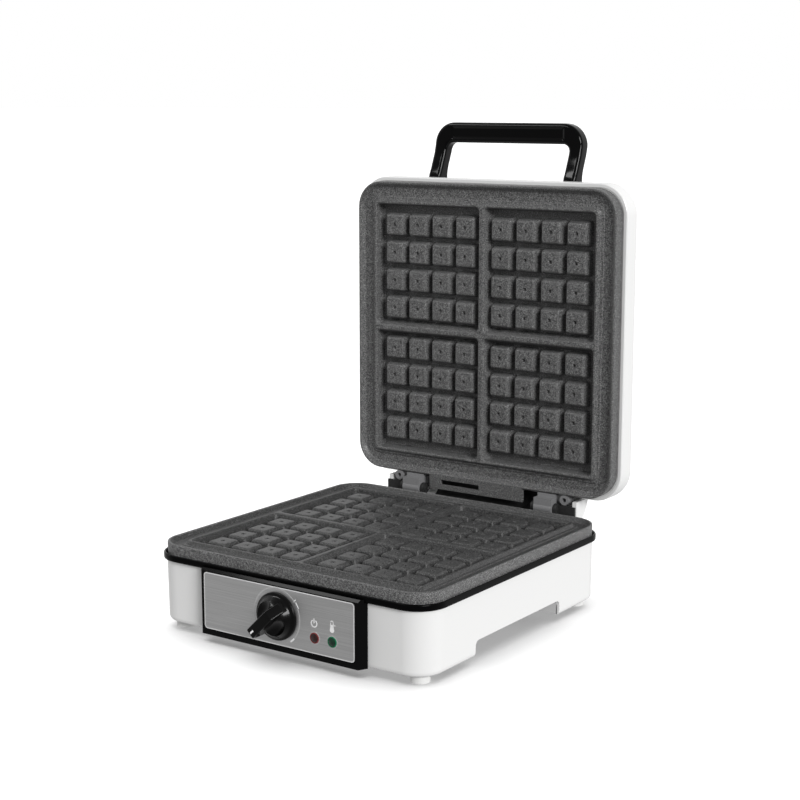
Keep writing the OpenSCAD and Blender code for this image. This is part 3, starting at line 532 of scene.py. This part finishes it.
# half side, corner radius and height: the land round the cells, the step, the gutter, the rolled lip and the back
RIM_LINE = [(116.0, 4.4, CELL_EDGE), (116.4, 4.5, -0.5), (116.8, 4.7, -0.55), (117.2, 4.9, -0.75),
            (117.5, 5.1, -1.2), (118.8, 5.4, -3.2), (119.3, 5.6, -3.5), (120.6, 5.9, -3.55), (121.0, 6.1, -3.7),
            (121.25, 6.3, -4.1), (121.5, 6.5, -4.4), (122.0, 6.9, -4.5),
            (128.9, 17.9, -4.5), (129.6, 18.6, -4.42), (130.15, 19.15, -4.15), (130.55, 19.55, -3.7),
            (132.3, 21.3, -1.25), (132.6, 21.6, -0.75), (133.0, 22.0, -0.3), (133.5, 22.5, -0.06),
            (134.0, 23.0, 0.0), (134.4, 23.4, -0.06), (134.75, 23.75, -0.3), (134.95, 23.95, -0.7),
            (135.0, 24.0, -1.2), (135.0, 24.0, -12.0), (134.85, 23.85, -12.35), (134.5, 23.5, -12.5),
            (131.0, 20.0, -12.5), (131.0, 20.0, -7.5), (118.5, 9.0, -7.5), (118.5, 9.0, -14.6),
            (118.1, 8.6, PLATE_BACK)]
# the cell's wall, from its floor up: near side, far side, corner radius and height
CELL_LINE = [(7.25, 112.3, 0.6, -12.0), (6.8, 112.85, 1.6, -11.85), (6.4, 113.25, 2.3, -11.45),
             (6.1, 113.5, 2.6, -10.8), (3.1, 114.55, 3.8, -2.4), (2.8, 114.75, 3.9, -1.6),
             (2.35, 115.05, 4.0, -0.95), (1.75, 115.5, 4.2, -0.6), (1.1, 115.8, 4.4, CELL_EDGE)]


def quarter_plate(bm):
    """A quarter of a plate: one cell of sixteen pegs and its share of the rim and the back."""
    steps = side_steps()
    for cx, x0, x1 in zip(PEG_X, TILE_X, TILE_X[1:]):
        for cy, y0, y1 in zip(PEG_X, TILE_X, TILE_X[1:]):
            tile(bm, cx, cy, x0, x1, y0, y1)
    land, land_corner, land_z = RIM_LINE[0]
    loops = [square_loop(TILE_X[0], TILE_X[-1], 0, CELL_FLOOR, steps)]
    loops += [square_loop(a, b, r, z, steps) for a, b, r, z in CELL_LINE]
    loops += [square_loop(0, land, 0, land_z, steps, land_corner)]
    grid(bm, loops)
    rows = grid(bm, [quarter_loop(x, r, z, steps) for x, r, z in RIM_LINE], closed=False)
    last = rows[-1]
    c = bm.verts.new((0, 0, PLATE_BACK))
    for a, b in zip(last, last[1:]):
        bm.faces.new((a, b, c))


def post(bm, x, y, r, z0, z1, hole):
    """Screw post under a plate, with its blind hole."""
    line = [(0.0, z1), (r, z1), (r, z0 + 0.4), (r - 0.4, z0), (hole, z0), (hole, z0 + 7), (0.0, z0 + 7)]
    grid(bm, [lift(circle(x, y, d, 24), z) for d, z in line])


def plate(name, node_name, place, body):
    """A whole baking plate, its quarter mirrored twice and its screw posts added."""
    bm = bmesh.new()
    quarter_plate(bm)
    for axis in ("x", "y"):
        extra = bmesh.ops.duplicate(bm, geom=bm.verts[:] + bm.edges[:] + bm.faces[:])["geom"]
        verts = [g for g in extra if isinstance(g, bmesh.types.BMVert)]
        for v in verts:
            setattr(v.co, axis, -getattr(v.co, axis))
        bmesh.ops.reverse_faces(bm, faces=[g for g in extra if isinstance(g, bmesh.types.BMFace)])
        bmesh.ops.remove_doubles(bm, verts=bm.verts, dist=SEAM)
    for sx in (-1, 1):
        for sy in (-1, 1):
            post(bm, sx * 45, sy * 45, 4.5, -30, -14.5, 1.6)
            post(bm, sx * 119, sy * 119, 5, -12.5, -7, 1.8)
    for x, y in ((56, 0), (0, 56), (-56, 0), (0, -56)):
        post(bm, x, y, 4, -22.2, -14.5, 1.4)
    ob = finish_mesh(bm, name, place, body, sharp=50)
    paint(ob, "plate")
    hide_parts(node_name)
    weighted(ob)
    return ob


lower = plate("lower_baking_plate", "lower_plate", PLACED @ Matrix.Translation((0, 0, LIP_Z)), "base")
plate("upper_baking_plate", "upper_plate", MIRRORED, "lid")


def paint_plate_light_and_shade(ob):
    """Darkens the lower plate's cooking face inside its lip with painted shade, and lightens the lip's outer wall
    with painted light.
    """
    ob.data.materials.append(MAT["lower"])
    ob.data.materials.append(MAT["lip"])
    straight = 135 - 24  # where the plate's outer corners begin
    lip_inside, lip_outside, depth = 21.8, 23.8, 14
    for p in ob.data.polygons:
        x, y, z = p.center * 1000
        reach = math.hypot(max(abs(x) - straight, 0), max(abs(y - BASE_Y) - straight, 0))
        if z > LIP_Z - depth:
            # slot 1 is painted shade inside the lip, slot 2 painted light on the lip's outer wall
            p.material_index = 1 if reach < lip_inside else 2 if reach > lip_outside else 0


paint_plate_light_and_shade(lower)


def rear_flange():
    """Slotted flange behind the upper plate, which shows below it when the lid is open."""
    y0, y1, thick = 134.2, 147.5, 3.2
    section = fillet([(y0, 0), (y1, 0), (y1, -thick), (y0, -thick)], 0.6, 3)
    ob = finish_mesh(prism([across(section, x) for x in (-54, 46)]), "rear_flange", MIRRORED, "lid", sharp=35)
    slot = round_rect(21, 2.4, 0.5, 4, -21, 140.4)
    cut(ob, [loose(prism([lift(slot, z) for z in (-5, 2)]), "slot_cutter", MIRRORED)])
    paint(ob, "plate")
    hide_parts("upper_plate")
    weighted(ob)


rear_flange()


# ---------------------------------------------------------------- shells
def sweep_rect(bm, line):
    """Walls through a section line of (half width, half depth, corner radius, z)."""
    return grid(bm, [lift(round_rect(hx, hy, r), z) for hx, hy, r, z in line])


def lid_shell():
    """The lid's cover, built closed, with openings for the hinge arms and the heater's leads."""
    bm = bmesh.new()
    half, r = 139.0, 27.0
    top, low = SHELL_TOP, SHELL_LOW
    outer = fillet([(0.9, low), (0.0, low + 0.9), (0.0, top), (22.0, top)], [0.9, 10.0], 8)
    line = [(half - 3.4, half - 3.4, r - 3.4, low), (half - 0.9, half - 0.9, r - 0.9, low)]
    line += [(half - d, half - d, max(r - d, 4), z) for d, z in outer[1:]]
    rows = sweep_rect(bm, line)
    cap(bm, rows[-1])
    inner_top = top - 2.6
    inside = [(3.4, low), (3.7, low + 0.5), (17.0, low + 0.5), (17.0, low + 3.4), (2.8, low + 3.4),
              (2.8, inner_top - 8), (5.2, inner_top - 2.4), (10.8, inner_top)]
    line = [(half - d, half - d, max(r - d, 10 if d > 12 else r - d), z) for d, z in inside]
    rows = sweep_rect(bm, line)
    cap(bm, rows[-1])
    ob = finish_mesh(bm, "lid_cover", OPENED, "lid", sharp=35)
    openings = [round_rect(9.3, 1.8, 0.3, 2, cx, low + 5.1) for cx in (-71, 71)]
    openings.append(circle(-55.6, low + 5.0, 1.4, 16))
    cut(ob, [loose(prism([upright(o, y) for y in (134, 141)]), "opening_cutter", OPENED) for o in openings])
    shade(ob, 35)
    paint(ob, "white")
    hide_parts("lid_shell")
    weighted(ob)


def base_body():
    """The housing, open at the tunnel between its feet, behind the panel and at the cord."""
    bm = bmesh.new()
    hx, hy, r = 135.0, 135.5, 23.0
    low, top, wall = BASE_LOW, BASE_TOP, 2.8
    draft = 1.1

    def at(z):
        """How far the tapered wall stands in at height z."""
        return draft * (top - z) / (top - low)

    out = [(at(low) + 3.0, low), (at(low) + 1.6, low + 0.35), (at(low) + 0.6, low + 1.3), (at(low) + 0.1, low + 2.6),
           (at(low + 4), low + 4.0), (0.3, top - 1.2), (0.0, top - 0.7), (0.25, top - 0.15), (0.7, top),
           (15.5, top), (15.5, top - 2.8), (wall + 0.3, top - 2.8), (at(low) + wall + 0.3, low + 0.35),
           (at(low) + 3.0, low)]
    line = [(hx - d, hy - d, max(r - d, 9), z) for d, z in out]
    sweep_rect(bm, line)
    ob = finish_mesh(bm, "base_body", PLACED, "base", sharp=35)
    y0, y1, roof, cr = -66.0, 64.0, 19.8, 4.5
    tunnel = [(y0, -5.0), (y1, -5.0)]
    tunnel += arc(y1 - cr, roof - cr, cr, 0, 90, 8) + arc(y0 + cr, roof - cr, cr, 90, 180, 8)
    panel = round_rect(74.5, 22.25, 1.0, 4, 0, 33.25)
    gland = circle(70, 27, 6.5, 32)
    cutters = (prism([across(tunnel, x) for x in (-150, 150)]), prism([upright(panel, y) for y in (-140, -128)]),
               prism([upright(gland, y) for y in (128, 140)]))
    cut(ob, [loose(c, "opening_cutter", PLACED) for c in cutters])
    shade(ob, 35)
    paint(ob, "white")
    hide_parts("base_housing")
    bevel(ob, 0.5, 2, 50)


def rim():
    """The black frame between the housing and the lower plate."""
    bm = bmesh.new()
    hx, hy, r = 137.6, 138.1, 25.6
    line = [(14.0, 1.3), (14.0, 0.05), (1.0, 0.05), (0.35, 0.3), (0.08, 0.9), (0.0, 1.6), (0.0, 4.2), (0.15, 4.85),
            (0.5, 5.3), (1.0, 5.5), (1.4, 5.45), (1.75, 5.15), (1.85, 4.7), (1.85, 1.3), (14.0, 1.3)]
    sweep_rect(bm, [(hx - d, hy - d, max(r - d, 11), BASE_TOP + z) for d, z in line])
    ob = finish_mesh(bm, "black_rim", PLACED, "base", sharp=40)
    paint(ob, "rim")
    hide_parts("rim_frame")
    weighted(ob)


lid_shell()
base_body()
rim()


# ---------------------------------------------------------------- handle
# the loop's half width, its legs' and bar's width seen from above, and the bar's thickness
HALF, LEG, BAR, THICK = 77.5, 13.0, 18.4, 14.0
BAR_Y = HINGE_Y - 337.0
BAR_Z = SHELL_TOP + 10.9
BAR_TOP, BAR_LOW = BAR_Z + THICK / 2, BAR_Z - THICK / 2
ROOT = -139.0  # the lid's front edge, where the legs come in over the shell
BEND = BAR_Y + 17  # where the legs begin to dip
LEG_DROP, HEEL_DROP = 9, 12  # how far the legs and their heels lie below the bar
HEEL, FOOT = 9, 29  # how far in from the edge the heel and the foot end
EDGE, OUTER_BEND, INNER_BEND = 3.6, 20, 7  # radii of the edges and of the loop's corners


def eased(y, y0, y1, a, b):
    """Runs smoothly from a at y0 to b at y1."""
    t = min(max((y - y0) / (y1 - y0), 0), 1)
    return a + (b - a) * (1 - math.cos(math.pi * t)) / 2


def handle_top(y):
    """Upper side of the loop on the closed lid."""
    if y <= ROOT:
        return eased(y, BEND, ROOT, BAR_TOP, BAR_TOP - LEG_DROP)
    t = (y - ROOT) / FOOT
    return SHELL_TOP + 8.9 - 5.9 * t ** 1.6


def handle_low(y):
    """Lower side of the loop: dips to a heel at the lid's edge, then rests in the shell."""
    if y <= ROOT:
        t = max(0.0, (y - BEND) / (ROOT - BEND) * 3 - 2)
        return eased(y, BEND, ROOT, BAR_LOW, BAR_LOW - LEG_DROP) - 3 * t * t
    seat, heel = SHELL_TOP - 0.4, BAR_LOW - HEEL_DROP
    return seat if y > ROOT + HEEL else heel + (y - ROOT) / HEEL * (seat - heel)


def handle_ribs():
    """Outer and inner edge of the loop in plan, from one foot round to the other."""
    ys = [ROOT + 28.9 - 1.2 * i for i in range(5)] + [ROOT + 23 - 2.5 * i for i in range(19)]
    out = [((HALF, y), (HALF - LEG, y)) for y in ys if y > BAR_Y + OUTER_BEND + 1]
    ro, ri = OUTER_BEND, INNER_BEND
    for i in range(13):
        a = math.radians(90 * i / 12)
        out.append(((HALF - ro + ro * math.cos(a), BAR_Y + ro - ro * math.sin(a)),
                    (HALF - LEG - ri + ri * math.cos(a), BAR_Y + BAR + ri - ri * math.sin(a))))
    out += [((x, BAR_Y), (x, BAR_Y + BAR)) for x in (52, 44, 30, 15, 0)]
    return out + [((-a[0], a[1]), (-b[0], b[1])) for a, b in reversed(out[:-1])]


def handle():
    """The loop on the lid, with a shallow recess along the side of its bar that faces the user."""
    loops = []
    for outer, inner in handle_ribs():
        w = math.hypot(outer[0] - inner[0], outer[1] - inner[1])
        mid_y = (outer[1] + inner[1]) / 2
        h = handle_top(mid_y) - handle_low(mid_y)
        ring = []
        for u, v in round_rect(w / 2, h / 2, min(EDGE, h / 2.2), 5):
            t = u / w + 0.5
            x = inner[0] + (outer[0] - inner[0]) * t
            y = inner[1] + (outer[1] - inner[1]) * t
            lo, hi = handle_low(y), handle_top(y)
            ring.append((x, y, (lo + hi) / 2 + v * (hi - lo) / h))
        loops.append(ring)
    bm = bmesh.new()
    rows = grid(bm, loops)
    for row in (rows[0], rows[-1]):
        cap(bm, row)
    ob = finish_mesh(bm, "loop_handle", OPENED, "lid", sharp=50)
    line = ((61.4, 7.6, 2.4, -1.0), (60.0, 6.2, 1.8, 0.0), (57.6, 3.8, 1.0, 1.6))
    recess = prism([lift(round_rect(hx, hy, r, 5, 0, BAR_Y + BAR / 2), BAR_LOW + z) for hx, hy, r, z in line])
    cut(ob, [loose(recess, "recess_cutter", OPENED)])
    shade(ob, 30)
    paint(ob, "black")
    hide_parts("handle")
    weighted(ob)


handle()


# ---------------------------------------------------------------- knob, marks and lenses
POINTED = 225  # where the grip points at rest, in degrees counter-clockwise from the right
PRINT_LOW, PRINT_TOP = -0.02, 0.05
SCALE_R = 22.7
LENS_X, LENS_Z, LENS_R = (37.0, 54.0), 24.8, 3.6
POWER_SIGN, HEAT_SIGN = (36.6, 36.3), (53.8, 37.3)


def face_piece(bm, name, key, body="base", place=FACE, sharp=35):
    """Piece in front of the fascia, in one material."""
    ob = finish_mesh(bm, name, place, body, sharp=sharp)
    paint(ob, key)
    return ob


def knob():
    """The knob's round body with a scoop on either side, and the grip across it."""
    pointed = (FACE @ (Matrix.Translation((0, KNOB_Z, 0)) @ Matrix.Rotation(math.radians(POINTED), 4, "Z")
                       @ Matrix.Translation((0, -KNOB_Z, 0))))
    line = [(0.0, -0.5), (18.9, -0.5), (19.3, -0.1), (19.3, 1.6), (19.1, 2.1), (18.5, 2.5), (17.6, 2.7), (16.9, 3.1),
            (16.2, 3.9), (14.4, 6.6), (12.6, 8.8), (10.2, 10.6), (7.0, 11.8), (3.5, 12.3), (0.0, 12.4)]
    bm = bmesh.new()
    grid(bm, [lift(circle(0, KNOB_Z, d, 72), z) for d, z in line])
    ob = face_piece(bm, "knob_body", "knob", "knob", pointed, sharp=30)
    scoops = []
    for side in (-1, 1):
        b = bmesh.new()
        bmesh.ops.create_uvsphere(b, u_segments=64, v_segments=32, radius=1.0)
        b.transform(Matrix.Translation((1.5, KNOB_Z + side * 10.6, 14.2)) @ Matrix.Diagonal((14.5, 8.0, 9.0, 1)))
        scoops.append(loose(b, "scoop_cutter", pointed))
    cut(ob, scoops)
    paint(ob, "knob")
    weighted(ob)
    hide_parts("knob")
    outline = fillet([(-15.8, 1.0), (-15.2, 9.0), (-7.4, 18.2), (16.8, 19.0), (18.3, 17.4), (17.4, 1.0)],
                     [1.2, 2.5, 1.2, 0.8], 4)
    mid_x, mid_z = 2.0, 9.0
    loops = []
    for w, inset in ((-4.3, 0.55), (-3.9, 0.12), (-3.5, 0.0), (3.5, 0.0), (3.9, 0.12), (4.3, 0.55)):
        loops.append([(x - inset * (1 if x > mid_x else -1), KNOB_Z + w, z - inset * (1 if z > mid_z else 0))
                      for x, z in outline])
    ob = face_piece(prism(loops), "knob_grip", "knob", "knob", pointed, sharp=30)
    weighted(ob)
    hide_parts("knob")


def flat_shape(outline, top=PRINT_TOP):
    return prism([lift(outline, PRINT_LOW), lift(outline, top)])


def band(cx, cy, r, w, a0, a1, top=PRINT_TOP, k=64):
    """Flat printed arc, counter-clockwise from a0 to a1 degrees."""
    bm = bmesh.new()
    outer, inner = arc(cx, cy, r + w / 2, a0, a1, k), arc(cx, cy, r - w / 2, a0, a1, k)
    section = ((outer, PRINT_LOW), (outer, top), (inner, top), (inner, PRINT_LOW), (outer, PRINT_LOW))
    rows = grid(bm, [lift(outline, z) for outline, z in section], closed=False)
    if abs(a1 - a0) < 360:
        bm.faces.new([row[0] for row in reversed(rows[:4])])
        bm.faces.new([row[-1] for row in rows[:4]])
    return bm


def printed(name, bm, key="mark"):
    """A print in white or pale grey."""
    face_piece(bm, name, key)


def stroke(x0, y0, x1, y1, w):
    """Straight printed line with round ends."""
    a = math.degrees(math.atan2(y1 - y0, x1 - x0))
    return flat_shape(arc(x1, y1, w / 2, a - 90, a + 90, 8) + arc(x0, y0, w / 2, a + 90, a + 270, 8))


def polar(r, deg):
    """Point at a radius and angle about the knob."""
    a = math.radians(deg)
    return r * math.cos(a), KNOB_Z + r * math.sin(a)


def fascia_edge():
    """Edge round the brushed plate, near-white with a painted highlight on it."""
    lo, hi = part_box("fascia")
    hx, hy = (hi[0] - lo[0]) * 500, (hi[2] - lo[2]) * 500
    cx, cy = (lo[0] + hi[0]) * 500, (lo[2] + hi[2]) * 500
    line = [(0.0, -0.1), (0.0, -0.02), (0.15, 0.04), (0.75, 0.04), (0.75, -0.1), (0.0, -0.1)]
    bm = bmesh.new()
    grid(bm, [lift(round_rect(hx - d, hy - d, 3.0 - d, 8, cx, cy), z) for d, z in line])
    face_piece(bm, "fascia_edge", "rolled_edge_highlight")


def prints():
    """The knob's scale, the signs for power and heat, and the rings round the lenses."""
    printed("scale_ring", band(0, KNOB_Z, SCALE_R, 0.7, -48, 218, k=110), "halo")
    printed("scale_mark_a", stroke(*polar(22.2, 41), *polar(24.6, 41), 1.0))
    printed("scale_mark_b", band(0, KNOB_Z, 23.3, 1.4, 24, 37, k=12))
    printed("scale_mark_c", band(0, KNOB_Z, SCALE_R, 1.4, -54, -42, top=0.08, k=12))
    px, py = POWER_SIGN
    printed("power_symbol_ring", band(px, py, 2.7, 0.9, 118, 422))
    printed("power_symbol_bar", stroke(px, py + 0.6, px, py + 3.6, 0.9))
    tx, ty = HEAT_SIGN
    printed("heat_symbol_tube", band(tx, ty + 2.9, 1.2, 0.7, -10, 190, k=16))
    printed("heat_symbol_left", stroke(tx - 1.2, ty + 2.9, tx - 1.2, ty - 1.8, 0.7))
    printed("heat_symbol_right", stroke(tx + 1.2, ty + 2.9, tx + 1.2, ty - 1.8, 0.7))
    printed("heat_symbol_bulb", flat_shape(arc(tx, ty - 3.1, 2.1, 0, 345, 23), 0.06))
    printed("heat_symbol_fill", stroke(tx, ty + 0.6, tx, ty - 2.6, 1.3))
    printed("heat_symbol_tick", stroke(tx + 2.3, ty + 0.9, tx + 3.1, ty + 0.9, 0.7))
    for name, x in (("power_bezel", LENS_X[0]), ("ready_bezel", LENS_X[1])):
        printed(name, band(x, LENS_Z, 4.7, 0.6, 0, 360, top=0.12), "halo")


def lens(node_name, x, color):
    """Domed lens and the ring it sits in."""
    def turn(line):
        bm = bmesh.new()
        return bm, grid(bm, [lift(circle(x, LENS_Z, d, 48), z) for d, z in line])

    name, slot = node_name + "_dome", color + "_lens"
    bm, _ = turn([(4.4, -3.0), (4.4, 0.15), (4.3, 0.4), (3.9, 0.62), (LENS_R, 0.62), (LENS_R, -3.0), (4.4, -3.0)])
    weighted(face_piece(bm, name + "_rim", color + "_rim"))
    bm, rows = turn([(LENS_R, -2.6), (LENS_R, 0.3), (3.3, 0.45), (2.4, 0.66), (1.3, 0.78), (0.5, 0.82)])
    cap(bm, rows[0])
    cap(bm, rows[-1])
    ob = face_piece(bm, name, color)
    weighted(ob)
    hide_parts(node_name)


knob()
fascia_edge()
prints()
lens("power_lens", LENS_X[0], "red")
lens("ready_lens", LENS_X[1], "green")

# ---------------------------------------------------------------- edges of the carried-over CAD pieces
for _name, _width in (("control_panel", 0.7), ("fascia", 0.45), ("hinge_housing", 1.2), ("hinge_arms", 0.5),
                      ("hinge_brackets", 0.4), ("feet", 1.0), ("base_cover", 0.4), ("cord_gland", 0.5),
                      ("hinge_pins", 0.3), ("knob_pointer", 0.08)):
    bevel(frame["nodes"][_name], _width, 3, 40)

# ---------------------------------------------------------------- floor, light and camera
AMBIENT = 0.32
FLOOR_GLOW = 0.11


def floor_material():
    """Near-white matt sheet with a little light of its own, so that it meets the white behind it."""
    m = bpy.data.materials.new("floor")
    m.use_nodes = True
    nt = m.node_tree
    nt.nodes.remove(nt.nodes["Principled BSDF"])
    matt = node(nt, "ShaderNodeBsdfDiffuse")
    glow = node(nt, "ShaderNodeEmission", Strength=FLOOR_GLOW)
    total = node(nt, "ShaderNodeAddShader")
    tone = ramp(nt, noise(nt, coords(nt), 3, 2), [(0.3, grey(0.89)), (0.7, grey(0.91))])
    nt.links.new(tone, matt.inputs["Color"])
    nt.links.new(matt.outputs[0], total.inputs[0])
    nt.links.new(glow.outputs[0], total.inputs[1])
    nt.links.new(total.outputs[0], nt.nodes["Material Output"].inputs["Surface"])
    return m


def floor_sheet():
    """Wide sheet at the frame's zero height that doesn't light or mirror in the object."""
    bm = bmesh.new()
    bmesh.ops.create_grid(bm, x_segments=1, y_segments=1, size=60)
    me = bpy.data.meshes.new("floor")
    bm.to_mesh(me)
    bm.free()
    me.materials.append(floor_material())
    ob = add("floor", me)
    ob.visible_diffuse = False
    ob.visible_glossy = False
    return ob


def studio():
    """World: white behind the object, dim in front of it and dimmer below."""
    world = bpy.data.worlds.new("studio")
    world.use_nodes = True
    nt = world.node_tree
    direction = node(nt, "ShaderNodeTexCoord").outputs["Generated"]

    def graded(axis, lo, hi, dark, light):
        """Goes from dark to light as the direction turns towards the axis."""
        dot = node(nt, "ShaderNodeVectorMath", operation="DOT_PRODUCT")
        dot.inputs[1].default_value = axis
        nt.links.new(direction, dot.inputs[0])
        return map_range(nt, dot.outputs["Value"], interpolation_type="SMOOTHSTEP",
                         **{"From Min": lo, "From Max": hi, "To Min": dark, "To Max": light})

    back = graded((-0.35, 0.85, -0.4), -0.6, 0.55, AMBIENT, 1.0)
    above = graded((0, 0, 1), -0.12, -0.01, 0.75, 1.0)
    nt.links.new(multiply(nt, back, above), nt.nodes["Background"].inputs["Strength"])
    nt.nodes["Background"].inputs["Color"].default_value = (1, 1, 1, 1)
    bpy.context.scene.world = world


def shine_on(ob, things, state):
    """Makes a light fall on these things alone (INCLUDE), or on everything but them (EXCLUDE)."""
    lit = bpy.data.collections.new(ob.name + "_lit")
    for thing in things:
        lit.objects.link(thing)
    for entry in lit.collection_objects:
        entry.light_linking.link_state = state
    ob.light_linking.receiver_collection = lit


def aim(ob, direction):
    """Turns a light or camera to look in a direction."""
    ob.rotation_euler = Vector(direction).to_track_quat("-Z", "Y").to_euler()


def area_light(name, at, target, size, power):
    """Lit rectangle that shines towards a target."""
    d = bpy.data.lights.new(name, "AREA")
    d.shape = "RECTANGLE"
    d.size, d.size_y = size
    d.energy = power
    ob = add(name, d)
    ob.location = at
    aim(ob, Vector(target) - Vector(at))
    return ob


def sun(name, toward, strength, angle):
    """Distant light that comes from the given direction."""
    d = bpy.data.lights.new(name, "SUN")
    d.energy = strength
    d.angle = angle
    ob = add(name, d)
    aim(ob, -Vector(toward))
    return ob


def look(at, azimuth, elevation, focal_length):
    """Camera at a place in metres, turned by an azimuth and looking down by an elevation, in degrees."""
    cam = bpy.data.cameras.new("camera")
    cam.sensor_width = 36
    cam.lens = focal_length
    cam.clip_start = 0.01
    ob = add("camera", cam)
    ob.location = at
    az, el = math.radians(azimuth), math.radians(elevation)
    aim(ob, (-math.sin(az) * math.cos(el), math.cos(az) * math.cos(el), -math.sin(el)))
    bpy.context.scene.camera = ob


floor = floor_sheet()
studio()
overhead = sun("overhead", toward=(-0.1, 0.15, 1), strength=2.8, angle=1.6)
shine_on(overhead, [floor], "INCLUDE")
for _light in (sun("key", toward=(0.84, -0.46, 0.44), strength=2.4, angle=0.4),
               area_light("strip", at=(-1.4, -1.2, 2.2), target=(0, 0, 0.15), size=(2.0, 0.3), power=11),
               area_light("edge", at=(-2.2, -0.9, 0.9), target=(0, 0, 0.25), size=(0.25, 1.6), power=3)):
    shine_on(_light, [floor], "EXCLUDE")
glint = area_light("glint", at=(-1.3, -1.3, 2.1), target=(0, 0, 0.2), size=(1.8, 0.25), power=12)
glossy = [ob for ob in bpy.context.scene.objects if ob.type == "MESH" and ob.data.materials
          and ob.data.materials[0] in (MAT["black"], MAT["knob"]) and ob != frame["nodes"]["control_panel"]]
shine_on(glint, glossy, "INCLUDE")
look(at=(0.78848, -1.10125 + BASE_Y / 1000, 0.43068), azimuth=35.035, elevation=10.281, focal_length=74.517)
bpy.context.scene.view_settings.view_transform = "Standard"
